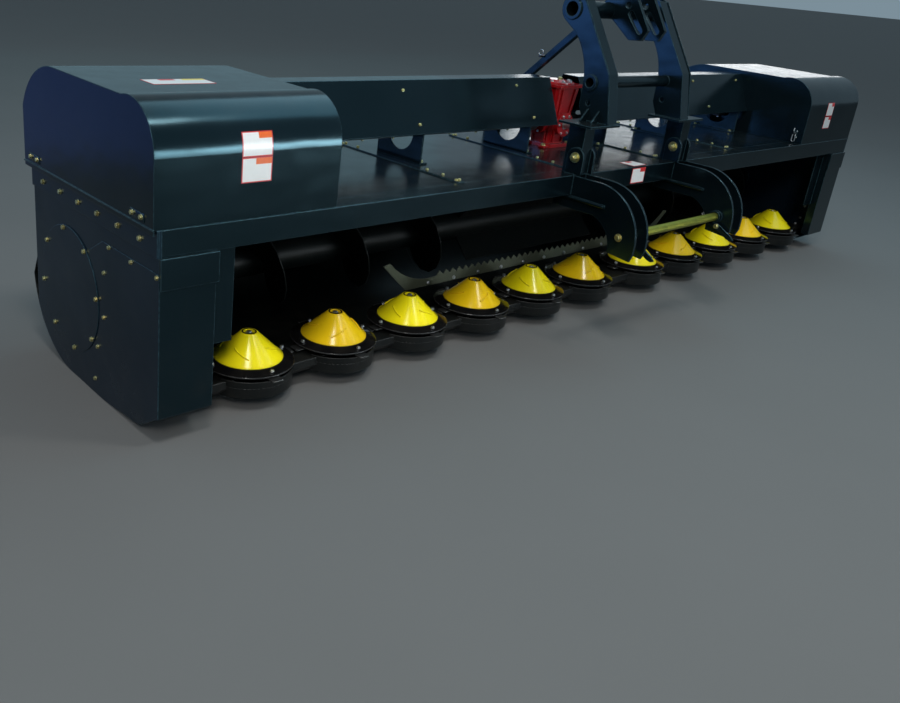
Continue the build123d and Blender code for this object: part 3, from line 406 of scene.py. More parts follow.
class Fitting:
    """A piece in the making: several solids in one mesh, each in its own finish."""

    def __init__(self):
        self.mesh = bmesh.new()
        self.finishes = []

    def paint(self, faces, finish):
        """Gives faces a finish."""
        if finish not in self.finishes:
            self.finishes.append(finish)
        for face in faces:
            face.material_index = self.finishes.index(finish)
            face.smooth = True

    def ring(self, place, radius, height, steps):
        """Corners round the place's own Z axis, or one point on it."""
        if radius < 1e-6:
            return [self.mesh.verts.new(place @ Vector((0, 0, height)))]
        angles = [math.tau * step / steps for step in range(steps)]
        return [self.mesh.verts.new(place @ Vector((radius * math.cos(a), radius * math.sin(a), height)))
                for a in angles]

    def skin(self, rings, finish):
        """Faces between one ring of corners and the next, given back as a list."""
        faces = []
        for low, high in zip(rings, rings[1:]):
            count = max(len(low), len(high))
            for i in range(count):
                j = (i + 1) % count
                corners = [low[i % len(low)], low[j % len(low)], high[j % len(high)], high[i % len(high)]]
                corners = list(dict.fromkeys(corners))
                if len(corners) > 2:
                    faces.append(self.mesh.faces.new(corners))
        self.paint(faces, finish)
        return faces

    def turned(self, place, outline, finish, steps=20):
        """Turns an outline of radii and heights about the place's own Z axis."""
        self.skin([self.ring(place, radius, height, steps) for radius, height in outline], finish)

    def slab(self, place, corners, low, high, finish, round_edge=0.0):
        """Flat plate from an outline in the place's own XY plane, with its edges rounded."""
        bottom = [self.mesh.verts.new(place @ Vector((x, y, low))) for x, y in corners]
        top = [self.mesh.verts.new(place @ Vector((x, y, high))) for x, y in corners]
        faces = [self.mesh.faces.new(bottom[::-1]), self.mesh.faces.new(top)]
        self.paint(faces, finish)
        faces += self.skin([bottom, top], finish)
        if round_edge:
            edges = dict.fromkeys(edge for face in faces for edge in face.edges)
            made = bmesh.ops.bevel(self.mesh, geom=list(edges), offset=round_edge, segments=2, profile=0.6,
                                   affect="EDGES", clamp_overlap=True)
            self.paint(made["faces"], finish)

    def block(self, low, high, finish, round_edge=0.0015):
        """Upright block between two corners."""
        corners = [(low.x, low.y), (high.x, low.y), (high.x, high.y), (low.x, high.y)]
        self.slab(Matrix.Identity(4), corners, low.z, high.z, finish, round_edge)

    def rod(self, points, radius, finish, sides=8, radii=None):
        """Round bar along points, closed at both ends."""
        points = [Vector(p) for p in points]
        angles = [math.tau * k / sides for k in range(sides)]
        rings = []
        side = None
        for i, point in enumerate(points):
            along = (points[min(i + 1, len(points) - 1)] - points[max(i - 1, 0)]).normalized()
            side = (side - along * side.dot(along)).normalized() if side else along.orthogonal().normalized()
            other = along.cross(side)
            size = radii[i] if radii else radius
            rings.append([self.mesh.verts.new(point + size * (math.cos(a) * side + math.sin(a) * other))
                          for a in angles])
        self.skin(rings, finish)
        ends = [self.mesh.faces.new(rings[0][::-1]), self.mesh.faces.new(rings[-1])]
        self.paint(ends, finish)

    def weld(self, points, radius, finish):
        """Bead of weld with its ripples, along a line of points."""
        dense = []
        for start, end in zip(points, points[1:]):
            count = max(2, round((Vector(end) - Vector(start)).length / (radius * 0.9)))
            dense += [Vector(start).lerp(Vector(end), i / count) for i in range(count)]
        dense.append(Vector(points[-1]))
        radii = [radius * (1.0 if i % 2 else 0.82) for i in range(len(dense))]
        self.rod(dense, radius, finish, radii=radii)

    def bolt(self, place, size, finish="zinc", nut=False):
        """Hexagon bolt on its washer. A nut also shows the thread's end."""
        self.turned(place, [(size * 0.5, 0), (size * 1.05, 0), (size * 1.05, size * 0.16),
                            (size * 0.8, size * 0.2)], finish)
        flat = size * 0.92
        base = size * 0.2
        height = size * 0.68
        self.turned(place, [(flat * 0.9, base), (flat, base + 0.06 * size), (flat, base + height * 0.82),
                            (flat * 0.84, base + height), (0, base + height)], finish, 6)
        if nut:
            top = base + height
            self.turned(place, [(size * 0.5, top - 0.001), (size * 0.5, top + size * 0.35),
                                (size * 0.4, top + size * 0.45), (0, top + size * 0.45)], finish, 14)

    def bolt_circle(self, place, radius, height, count, size, start=0.0):
        """Silver bolts round the place's own Z axis, the first one at an angle in degrees."""
        for x, y in arc((0, 0), radius, start, 360 / count, count):
            self.bolt(place @ Matrix.Translation((x, y, height)), size, "silver")

    def sheet(self, point, across, up, finish, lift):
        """Thin film over a surface: point(u, v, lift) is a place on it."""
        columns, rows = ([span[0] + (span[1] - span[0]) * i / steps for i in range(steps + 1)]
                         for span, steps in zip((across, up), LABEL_FACES))
        table = [[(u, v) for u in columns] for v in rows]
        film_top = [[self.mesh.verts.new(point(u, v, lift)) for u, v in row] for row in table]
        faces = []
        for low, high in zip(film_top, film_top[1:]):
            for i in range(len(low) - 1):
                faces.append(self.mesh.faces.new((low[i], low[i + 1], high[i + 1], high[i])))
        self.paint(faces, finish)
        foot = [self.mesh.verts.new(point(u, v, 0.0)) for u, v in self.rim(table)]
        self.skin([foot, self.rim(film_top)], finish)

    @staticmethod
    def rim(table):
        """The outer entries of a table, in order round it."""
        return [*table[0][:-1], *(row[-1] for row in table[:-1]), *table[-1][:0:-1],
                *(row[0] for row in table[:0:-1])]

    def done(self, name, body="frame"):
        """Makes the object and lets it ride on its body."""
        bmesh.ops.recalc_face_normals(self.mesh, faces=self.mesh.faces[:])
        data = bpy.data.meshes.new(name)
        self.mesh.to_mesh(data)
        self.mesh.free()
        data.set_sharp_from_angle(angle=SHARP_EDGE)
        piece = bpy.data.objects.new(name, data)
        bpy.context.scene.collection.objects.link(piece)
        for finish in self.finishes:
            data.materials.append(FINISHES[finish])
        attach(piece, body)


def bolts(fitting, places, size, finish="zinc", nut=False):
    """A bolt at each place, each turned its own way."""
    for index, (point, out) in enumerate(places):
        fitting.bolt(facing(point, out, 17.0 * index), size, finish, nut)


def bolted(name, places, size, finish="zinc", nut=False):
    """A piece of the frame that is nothing but bolts."""
    fitting = Fitting()
    bolts(fitting, places, size, finish, nut)
    fitting.done(name)


# Operators, one for each piece or group of like pieces


class Step(bpy.types.Operator):
    """Common part of the harvester's operators"""

    bl_idname = "harvester.step"
    bl_label = "Step"
    bl_options = {"REGISTER", "UNDO"}

    @property
    def sizes(self):
        """The sizes that the user may change."""
        return bpy.context.scene.harvester_sizes


class PaintNodes(Step):
    """Make the materials and paint the frame's own parts"""

    bl_idname = "harvester.paint_nodes"
    bl_label = "Paint"

    def execute(self, context):
        make_finishes(context.scene.harvester_look)
        for finish, nodes in NODE_FINISH.items():
            for node in nodes:
                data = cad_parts[node].data
                data.materials.clear()
                data.materials.append(FINISHES[finish])
        return {"FINISHED"}


class EndSkins(Step):
    """Add the overlapping sheet on the front of each end plate, with its bolts"""

    bl_idname = "harvester.end_skins"
    bl_label = "End Skins"

    def execute(self, context):
        outline = [(-6, -158), (429, -163), *arc(ROTOR, COVER_RADIUS + 4, 128, 9.1, 14), (600, -843),
                   (430, -843), (135, -813), (-6, -722)]
        rows = [(8, -172), (197, -174), (371, -172), (415, -287), (420, -474), (478, -622), (505, -775)]
        face = PLATE_FACE + 2.0
        for side, sign in NAMED_SIDES:
            skin = Fitting()
            skin.slab(side_plane(sign), outline, PLATE_FACE * MM, face * MM, "plate")
            bolts(skin, [(spot(sign * face, y, z), (sign, 0, 0)) for y, z in rows], self.sizes.bolt * 0.85)
            skin.done(f"end_skin_{side}")
        return {"FINISHED"}


class EndBolts(Step):
    """Bolt the rails and bearing covers to the end plates, with the nuts inside"""

    bl_idname = "harvester.end_bolts"
    bl_label = "End Bolts"

    def execute(self, context):
        size = self.sizes.bolt
        inside = [(168, -272), (84, -405), (157, -448), (81, -512), (156, -564), (79, -616), (168, -661),
                  (191, -715), (80, -712)]
        for side, sign in NAMED_SIDES:
            out = Vector((sign, 0, 0))
            rail = [(spot(sign * RAIL_FACE, 121 + 166 * i, -60), out) for i in range(6)]
            bolted(f"rail_bolts_{side}", rail, size * 1.05)
            ring = arc(ROTOR, COVER_RADIUS - 12, -9, 45, 8)
            bolted(f"cover_bolts_{side}", [(spot(sign * COVER_FACE, y, z), out) for y, z in ring], size)
            nuts = [(spot(sign * PLATE_INNER_FACE, y, z), -out) for y, z in inside]
            bolted(f"inner_nuts_{side}", nuts, size * 0.85, "silver", True)
        return {"FINISHED"}


# The hood's shoulder: its centre behind the beam and above the deck, and its radius
HOOD_ARC = (187.2, 245.0, 182.2)
# The hood's top at its front and rear: behind the beam and above the deck
CROWN = ((238.0, 420.0), (807.0, 425.0))
# A label's border, and the share of its height that the coloured band takes
LABEL_BORDER = 4.0
LABEL_BAND = 0.26


def hood_face(x, rise, lift):
    """Point on the hood's front: straight up from the deck, then round the shoulder."""
    centre_y, centre_z, radius = HOOD_ARC
    if rise <= centre_z:
        return spot(x, 5.0, rise) + Vector((0, -lift, 0))
    turn = (rise - centre_z) / radius
    reach = radius + lift / MM
    return spot(x, centre_y - reach * math.cos(turn), centre_z + reach * math.sin(turn))


class Labels(Step):
    """Stick the blank labels on"""

    bl_idname = "harvester.labels"
    bl_label = "Blank Labels"

    def execute(self, context):
        lift = self.sizes.label_lift
        # Name, surface, reach across and up, and each band with where it starts and ends across
        rows = (
            ("label_left_hood", hood_face, (-2553, -2421), (134, 226), (("signal", 0.45, 1.0),)),
            ("label_left_hood_top", hood_face, (-2553, -2421), (228, 318), (("signal", 0.55, 1.0),)),
            ("label_right_hood", hood_face, (2375, 2480), (96, 180), (("border", 0.6, 1.0),)),
            ("label_right_hood_top", hood_face, (2375, 2480), (184, 276), (("border", 0.6, 1.0),)),
            ("label_beam", self.beam, (0, 128), (-92, -8), (("border", 0.6, 1.0),)),
            ("label_deck", self.deck, (30, 150), (15, 105), (("border", 0.3, 0.7),)),
            ("label_crown", self.crown, (-2690, -2420), (395, 500),
             (("border", 0.25, 0.5), ("tape", 0.62, 1.0))),
        )
        for name, point, across, up, bands in rows:
            label = Fitting()
            label.sheet(point, across, up, "border", lift)
            left, right = across[0] + LABEL_BORDER, across[1] - LABEL_BORDER
            foot, head = up[0] + LABEL_BORDER, up[1] - LABEL_BORDER
            label.sheet(point, (left, right), (foot, head), "white", lift * 1.5)
            for finish, start, end in bands:
                span = (left + start * (right - left), left + end * (right - left))
                label.sheet(point, span, (head - LABEL_BAND * (head - foot), head), finish, lift * 2.0)
            label.done(name)
        return {"FINISHED"}

    @staticmethod
    def beam(x, z, lift):
        """Point on the front beam's face."""
        return spot(x, 0, z) + Vector((0, -lift, 0))

    @staticmethod
    def deck(x, y, lift):
        """Point on the front beam's top."""
        return spot(x, y, 0) + Vector((0, 0, lift))

    @staticmethod
    def crown(x, y, lift):
        """Point on the hood's top, which rises a little to the rear."""
        (front, low), (rear, high) = CROWN
        return spot(x, y, low + (high - low) * (y - front) / (rear - front)) + Vector((0, 0, lift))


class HoodFittings(Step):
    """Add the clips and catches of the hoods"""

    bl_idname = "harvester.hood_fittings"
    bl_label = "Hood Fittings"

    def execute(self, context):
        clip_face = HOOD_FACE + 2.5
        for side, sign in NAMED_SIDES:
            clips = Fitting()
            for y in (118, 1003):
                clips.block(*self.span(sign, HOOD_FACE, clip_face, y - 52, y + 52, 12, 44), "body", 0.001)
                for dy in (-33, 33):
                    clips.bolt(facing(spot(sign * clip_face, y + dy, 29), (sign, 0, 0), 11 * dy), 0.010)
            clips.done(f"hood_clips_{side}")
            catch = Fitting()
            for y in (62, 1040):
                self.catch(catch, sign, y)
            catch.done(f"hood_catches_{side}")
        return {"FINISHED"}

    def catch(self, catch, sign, y):
        """Adds one spring catch on a hood's inner side: plate, body, wire hook, grip and screws."""
        face = HOOD_INNER_FACE
        catch.block(*self.span(sign, face - 3, face, y - 15, y + 15, 38, 84), "body", 0.001)
        catch.block(*self.span(sign, face - 16, face - 3, y - 10, y + 10, 52, 72), "casting", 0.002)
        hook = ((14, -9, 60), (16, -11, 18), (16, 0, 10), (16, 11, 18), (14, 9, 60))
        grip = ((20, 0, 72), (34, 0, 86), (30, 0, 104))
        for points, radius in ((hook, 0.003), (grip, 0.0042)):
            catch.rod([spot(sign * (face - x), y + dy, z) for x, dy, z in points], radius, "silver")
        for z in (40, 82):
            catch.bolt(facing(spot(sign * (face - 3), y - 11, z), (-sign, 0, 0), z), 0.005, "silver")

    @staticmethod
    def span(sign, near, far, front, rear, low, high):
        """Low and high corner of a block on one side of the machine."""
        a = spot(sign * near, front, low)
        b = spot(sign * far, rear, high)
        return (Vector((min(a.x, b.x), a.y, a.z)), Vector((max(a.x, b.x), b.y, b.z)))


# Across from the middle: the guard supports, each with its foot inwards, and the deck's seams
SUPPORTS = (362.5, 1190.5, 1990.0)
DECK_SEAMS = (-1267.5, -422.5, 422.5, 1267.5)


class DeckBolts(Step):
    """Bolt the deck's seams, its rear edge and the feet of the guard supports"""

    bl_idname = "harvester.deck_bolts"
    bl_label = "Deck Bolts"

    def execute(self, context):
        size = self.sizes.bolt
        up = Vector((0, 0, 1))
        seams = []
        for x in DECK_SEAMS:
            for y in (126, 232, 338, 850, 946):
                for dx in (-11, 11) if y in (126, 946) else (11,):
                    seams.append((spot(x + dx, y, 6), up))
        bolted("seam_bolts", seams, size * 0.8)
        low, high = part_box("guard_supports")
        feet = [Vector((sign * (x - 22) * MM, y, DECK + 8 * MM)) for sign in SIDES for x in SUPPORTS
                for y in (low.y + 24 * MM, high.y - 24 * MM)]
        bolted("foot_bolts", [(foot, up) for foot in feet], size)
        places = [sign * (150 + 232 * i) for sign in SIDES for i in range(9)]
        edge = [(spot(x, 1020, 0), up) for x in places if all(abs(x - seam) > 40 for seam in DECK_SEAMS)]
        bolted("rear_deck_bolts", edge, size * 0.8)
        return {"FINISHED"}


# Bolts of the shaft guards: how far across, and how far up the slope from 0 to 1
GUARD_BOLTS = ((-2000, 0.83), (-1960, 0.18), (-1290, 0.81), (-1218, 0.18), (-440, 0.84), (-338, 0.18),
               (338, 0.18), (440, 0.84), (1218, 0.18), (1407, 0.84), (1564, 0.18), (2000, 0.83))
# The guards' slope: its foot out from the shaft and above the deck, and how far it runs in and up
GUARD_FOOT = (165, 152)
GUARD_SLOPE = (110, 245)


class GuardBolts(Step):
    """Bolt the shaft guards to their supports"""

    bl_idname = "harvester.guard_bolts"
    bl_label = "Guard Bolts"

    def execute(self, context):
        run, rise = GUARD_SLOPE
        places = []
        for front in SIDES:
            out = Vector((0, front * rise, run)).normalized()
            for x, share in GUARD_BOLTS:
                y = SHAFT[0] + front * (GUARD_FOOT[0] - run * share)
                places.append((spot(x, y, GUARD_FOOT[1] + rise * share) + out * 0.0008, out))
        bolted("guard_bolts", places, self.sizes.bolt * 0.75)
        return {"FINISHED"}


# How far the seats of the gearbox's flanges lie from its middle
GEARBOX_FACE = 112.0


class GearboxFittings(Step):
    """Add the gearbox's cover, ribs, flanges, feet and bolts"""

    bl_idname = "harvester.gearbox_fittings"
    bl_label = "Gearbox Fittings"

    def execute(self, context):
        centre = spot(0, SHAFT[0], 0)
        cover = Fitting()
        place = Matrix.Translation((centre.x, centre.y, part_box("gearbox")[1].z))
        cover.turned(place, [(0.106, 0), (0.106, 0.006), (0.102, 0.010), (0.060, 0.010), (0.052, 0.018),
                             (0, 0.018)], "red", 32)
        cover.bolt_circle(place, 0.084, 0.010, 8, 0.010, 22.5)
        cover.bolt(place @ Matrix.Translation((0.02, -0.012, 0.018)), 0.014)
        cover.done("gearbox_cover")
        ribs = Fitting()
        for corner in (45, 135, 225, 315):
            for offset in (-0.30, 0.30):
                turn = math.radians(corner) + offset
                along = Vector((math.cos(turn), math.sin(turn), 0))
                square = max(abs(math.cos(turn)), abs(math.sin(turn)))
                path = ((0.078 / square, 0.03), (0.078 / square + 0.006, 0.12), (0.108 / square, 0.335))
                ribs.rod([centre + along * out + Vector((0, 0, rise)) for out, rise in path], 0.007, "red")
        for sign in SIDES:
            side = facing(spot(sign * GEARBOX_FACE, *SHAFT), (sign, 0, 0))
            ribs.turned(side, [(0.040, 0), (0.062, 0), (0.066, 0.003), (0.066, 0.010), (0.060, 0.013),
                               (0.036, 0.013), (0.036, 0.0)], "red", 32)
            ribs.bolt_circle(side, 0.052, 0.013, 6, 0.007)
        front = facing(spot(0, SHAFT[0] - GEARBOX_FACE, SHAFT[1]), (0, -1, 0))
        flange = [(0.028, 0), (0.064, 0), (0.068, 0.002), (0.068, 0.005), (0.028, 0.005)]
        ribs.turned(front, flange, "red", 32)
        ribs.bolt_circle(front, 0.054, 0.005, 6, 0.007)
        ribs.done("gearbox_ribs")
        feet = Fitting()
        for dx in SIDES:
            for dy in SIDES:
                foot = centre + Vector((dx * 0.112, dy * 0.07, 0))
                low, high = foot - Vector((0.018, 0.022, 0)), foot + Vector((0.018, 0.022, 0.014))
                feet.block(low, high, "red", 0.003)
                feet.bolt(Matrix.Translation(centre + Vector((dx * 0.113, dy * 0.07, 0.014))), 0.014)
        feet.done("gearbox_feet")
        return {"FINISHED"}


class ShaftFittings(Step):
    """Add the input shaft's splines and the cross shaft's couplings"""

    bl_idname = "harvester.shaft_fittings"
    bl_label = "Shaft Fittings"

    def execute(self, context):
        low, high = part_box("input_shaft")
        centre = Vector((0, low.y, (low.z + high.z) / 2))
        splines = Fitting()
        for x, z in arc((0, 0), 1.0, 0, 60, 6):
            way = Vector((x, 0, z))
            axes = Matrix((Vector((-z, 0, x)), way, (0, 1, 0))).transposed().to_4x4()
            place = Matrix.Translation(centre + way * 0.0168) @ axes
            key = [(-0.0035, 0), (0.0035, 0), (0.0035, 0.0022), (-0.0035, 0.0022)]
            splines.slab(place, key, 0.003, 0.085, "turned", 0.0004)
        splines.done("input_splines", "input_shaft")
        couplings = Fitting()
        for sign in SIDES:
            for x in (190, 2010):
                place = facing(spot(sign * x, *SHAFT), (sign, 0, 0))
                couplings.turned(place, [(0.027, -0.04), (0.042, -0.04), (0.044, -0.036), (0.044, 0.036),
                                         (0.042, 0.04), (0.027, 0.04)], "casting", 28)
                screw = Matrix.Rotation(math.pi / 2, 4, "X") @ Matrix.Translation((0, 0, 0.043))
                couplings.bolt(place @ screw, 0.010, "silver")
        couplings.done("shaft_couplings", "cross_shaft")
        return {"FINISHED"}


# Across from the middle: the faces of the mast's plates, and the middle of a post with its lugs beside it
MAST_INNER = 310
MAST_OUTER = 390
POST_X = 468
LUG_FACE = 52
LUG_PIN = (25, 84)


class MastFittings(Step):
    """Add the mast's welds, gussets and lug pins"""

    bl_idname = "harvester.mast_fittings"
    bl_label = "Mast Fittings"

    def execute(self, context):
        self.welds()
        pins = Fitting()
        out = Vector((-1, 0, 0))
        for sign in SIDES:
            near, far = (spot(sign * POST_X + face, *LUG_PIN) for face in (-LUG_FACE, LUG_FACE))
            washer = [(0.018, 0), (0.027, 0), (0.027, 0.004)]
            pins.turned(facing(near, out), [*washer, (0.017, 0.004)], "zinc", 28)
            nut = [(0.020, 0), (0.021, 0.002), (0.021, 0.014), (0.018, 0.018), (0, 0.018)]
            pins.turned(facing(near + out * 0.004, out), nut, "zinc", 6)
            thread = [(0.012, 0), (0.012, 0.010), (0.010, 0.012), (0, 0.012)]
            pins.turned(facing(near + out * 0.018, out), thread, "zinc", 18)
            end = [*washer, (0.013, 0.004), (0.013, 0.030), (0.011, 0.032), (0, 0.032)]
            pins.turned(facing(far, -out), end, "zinc", 28)
            clip = arc((0, 0.026), 0.012, -60, 20, 15)
            pins.rod([far + Vector((0.022, y, z)) for y, z in clip], 0.0018, "silver")
        pins.done("lug_pins")
        return {"FINISHED"}

    @staticmethod
    def welds():
        """Welds the posts, plates, tubes and gussets of the mast."""
        welds = Fitting()
        for sign in SIDES:
            for ends, radius in (
                    (((432, 2, 1), (432, 98, 1)), 0.0045),
                    (((504, 2, 1), (504, 98, 1)), 0.0045),
                    (((430, -1, 1), (506, -1, 1)), 0.0045),
                    (((MAST_INNER, -30, 253), (MAST_INNER, 112, 253)), 0.004),
                    (((MAST_OUTER, -30, 253), (MAST_OUTER, 112, 253)), 0.004),
                    (((318, -42, 253), (382, -42, 253)), 0.004),
                    (((388, -38, 256), (388, 4, 494), (388, 232, 848)), 0.0032)):
                welds.weld([spot(sign * x, y, z) for x, y, z in ends], radius, "body")
            for centre, radius in (((105, 441), 30), ((287, 780), 42)):
                for face, wider in ((MAST_INNER - 1, 0), (MAST_OUTER, 10)):
                    ring = arc(centre, radius + wider, 0, 15, 25)
                    welds.weld([spot(sign * face, y, z) for y, z in ring], 0.0035, "body")
            for y in (22, 88):
                low = spot(sign * MAST_OUTER, y - 4, 252)
                plate = Matrix(((sign, 0, 0, low.x), (0, 0, 1, low.y), (0, 1, 0, low.z), (0, 0, 0, 1)))
                welds.slab(plate, [(0, 0), (0.058, 0), (0.058, 0.006), (0.006, 0.062), (0, 0.062)], 0, 0.008,
                           "body", 0.001)
        welds.done("mast_welds")


# The pin through the brace, behind the beam's face and above the deck
BRACE_PIN = (715, 489)


class BracePin(Step):
    """Add the pin through the brace with its ring, and the bolt of its bracket"""

    bl_idname = "harvester.brace_pin"
    bl_label = "Brace Pins"

    def execute(self, context):
        y, z = BRACE_PIN
        pin = Fitting()
        pin.rod([spot(-44, y, z), spot(44, y, z)], 0.006, "black", 12)
        pin.rod([spot(-34, *point) for point in arc((y, z + 22), 16, -90, 30, 13)], 0.0016, "silver")
        low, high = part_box("brace_bracket")
        centre = (low + high) / 2
        for out in SIDES:
            point = Vector((low.x if out < 0 else high.x, centre.y, high.z - 0.03))
            pin.bolt(facing(point, (out, 0, 0), 20), 0.018, "zinc", out > 0)
        pin.done("brace_pins")
        return {"FINISHED"}


# Across from the middle: the hitch plates' outer faces, and where the flag plates' bolts sit
LINK_FACE = 541
FLAG_SEAT = 398


class HitchFittings(Step):
    """Add the link pins' heads, the flag plates and the welds of the hitch"""

    bl_idname = "harvester.hitch_fittings"
    bl_label = "Hitch Fittings"

    def execute(self, context):
        pins = Fitting()
        flags = Fitting()
        outline = [(-300, -252), (-322, -268), (-352, -268), (-440, -318), (-458, -338), (-440, -346),
                   (-418, -340), (-334, -292), (-300, -286)]
        cotter = ((8, -268, -240), (10, -262, -226), (10, -252, -232), (8, -262, -246))
        for sign in SIDES:
            out = Vector((sign, 0, 0))
            outer = spot(sign * LINK_FACE, *HITCH_BAR)
            washer = [(0.012, 0), (0.020, 0), (0.020, 0.004), (0.012, 0.004)]
            pins.turned(facing(outer, out), washer, "zinc", 28)
            head = [(0.014, 0), (0.0155, 0.002), (0.0155, 0.010), (0.013, 0.013), (0, 0.013)]
            pins.turned(facing(outer + out * 0.004, out), head, "zinc", 6)
            flags.slab(side_plane(sign), outline, (FLAG_SEAT + 1) * MM, (FLAG_SEAT + 9) * MM, "body", 0.0012)
            flags.bolt(facing(spot(sign * FLAG_SEAT, -346, -284), (-sign, 0, 0), 10), 0.014)
            flags.rod([spot(sign * (FLAG_SEAT - x), y, z) for x, y, z in cotter], 0.002, "silver")
        pins.done("link_pin_heads")
        flags.done("hitch_flags")
        welds = Fitting()
        for x in (-535, -431, 431, 535):
            for dx in (-6, 6):
                welds.weld([spot(x + dx, -2, -3), spot(x + dx, -2, -98)], 0.004, "body")
            welds.weld([spot(x, 3, 2), spot(x, 60, 1)], 0.004, "body")
        welds.done("hitch_welds")
        return {"FINISHED"}


# Where each cone's first rib ends, in degrees, and the way in which its ribs slant
CONE_RIBS = ((-123, 1), (-135, -1), (-150, 1), (-118, -1), (-140, 1), (-128, -1), (-146, 1), (-122, -1),
             (-137, 1), (-115, -1), (-149, 1))
# The cones' foot above the deck, radius there, rise to the neck and how much narrower the neck is
CONE_FOOT = -674.0
CONE_RADIUS = 148.0
CONE_RISE = 106.0
CONE_TAPER = 112.0
# The ribs' radii at both ends, twist in degrees and lift off the cone
RIB_RADII = (90, 120)
RIB_TWIST = 40
RIB_LIFT = 3.2


class Cones(Step):
    """Weld the slanted ribs and rims on the cones and add their bolts"""

    bl_idname = "harvester.cones"
    bl_label = "Cone Ribs"

    def execute(self, context):
        count = self.sizes.ribs
        low, high = RIB_RADII
        rim = [(0.1445, -0.0005), (0.1492, -0.0005), (0.1492, 0.0035), (0.1462, 0.0045)]
        for number, x, (phase, hand) in zip(CUTTERS, DISC_X, CONE_RIBS):
            finish = "yellow" if number % 2 else "orange"
            ribs = Fitting()
            for i in range(count):
                points = []
                for share in (step / 6 for step in range(7)):
                    radius = low + (high - low) * share
                    turn = math.radians(phase + 360 / count * i - hand * RIB_TWIST * (1 - share))
                    height = CONE_FOOT + CONE_RISE * (CONE_RADIUS - radius) / CONE_TAPER + RIB_LIFT
                    points.append(spot(x + radius * math.cos(turn), DISC_Y + radius * math.sin(turn), height))
                ribs.rod(points, self.sizes.rib / 2, finish)
            ribs.turned(cutter_axis(x, CONE_FOOT), rim, finish, 64)
            for height, inner, outer in ((-580, 0, 0.0255), (-568, 0.0256, 0.0322)):
                ribs.turned(cutter_axis(x, height), [(inner, 0.0006), (outer, 0.0006)], "black", 32)
            ribs.done(f"cone_ribs_{number}", f"cutter_{number}")
            bolt = Fitting()
            bolt.bolt(cutter_axis(x, -579), 0.014, "silver")
            bolt.done(f"cone_bolt_{number}", f"cutter_{number}")
        return {"FINISHED"}


class Knives(Step):
    """Add the bevelled knives and their bolts to the discs"""

    bl_idname = "harvester.knives"
    bl_label = "Knives"

    def execute(self, context):
        outline = [(0.146, -0.0266), (0.218, -0.0266), (0.2266, -0.018), (0.2266, 0.018), (0.218, 0.0266),
                   (0.146, 0.0266)]
        under = -0.0046
        for number, x in zip(CUTTERS, DISC_X):
            knives = Fitting()
            for i in range(4):
                place = cutter_axis(x, -701) @ Matrix.Rotation(math.tau * i / 4, 4, "Z")
                knives.slab(place, outline, under, under + self.sizes.knife, "blade", 0.0012)
                knives.bolt(place @ Matrix.Translation((0.176, 0, 0.0215)), 0.009, "silver")
            knives.done(f"knives_{number}", f"cutter_{number}")
        return {"FINISHED"}


class ShoeWalls(Step):
    """Raise the wall of each sliding shoe to just below the knives"""

    bl_idname = "harvester.shoe_walls"
    bl_label = "Shoe Walls"

    def execute(self, context):
        walls = Fitting()
        outer, inner = (arc((0, 0), radius, 202, 136 / 24, 25) for radius in (0.1930, 0.1868))
        for x in DISC_X:
            walls.slab(cutter_axis(x, -742), [*outer, *reversed(inner)], 0, 0.030, "shoe")
        walls.done("shoe_walls")
        return {"FINISHED"}


class SillBolts(Step):
    """Bolt the serrated sill to its carrier"""

    bl_idname = "harvester.sill_bolts"
    bl_label = "Sill Bolts"

    def execute(self, context):
        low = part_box("serrated_sill")[0]
        places = [(Vector((0.2 * i, low.y, low.z + 0.016)), Vector((0, -1, 0))) for i in range(-5, 6)]
        bolted("sill_bolts", places, 0.010, "silver")
        return {"FINISHED"}


# The outlet's lip: half its clear width and its front face in millimetres, then the foot and the top of the
# clear opening above the floor, and the bars' width and thickness, in metres
LIP_HALF = 622
LIP_FACE = 1070
LIP_FOOT = 0.460
LIP_TOP = 0.680
LIP_WIDTH = 0.030
LIP_THICK = 0.006


class OutletLip(Step):
    """Frame the outlet at the back with bolted bars"""

    bl_idname = "harvester.outlet_lip"
    bl_label = "Outlet Lip"

    def execute(self, context):
        lip = Fitting()
        left, right = spot(-LIP_HALF, 0, 0).x, spot(LIP_HALF, 0, 0).x
        front = spot(0, LIP_FACE, 0).y
        rear = front + LIP_THICK
        lip.block(Vector((left - LIP_WIDTH, front, LIP_TOP)),
                  Vector((right + LIP_WIDTH, rear, LIP_TOP + LIP_WIDTH)), "chamber")
        for x in (left - LIP_WIDTH, right):
            lip.block(Vector((x, front, LIP_FOOT)), Vector((x + LIP_WIDTH, rear, LIP_TOP)), "chamber")
        height = LIP_TOP + LIP_WIDTH / 2
        points = [Vector((left + (right - left) * i / 8, rear, height)) for i in range(9)]
        bolts(lip, [(point, (0, 1, 0)) for point in points], 0.010)
        lip.done("outlet_lip")
        return {"FINISHED"}


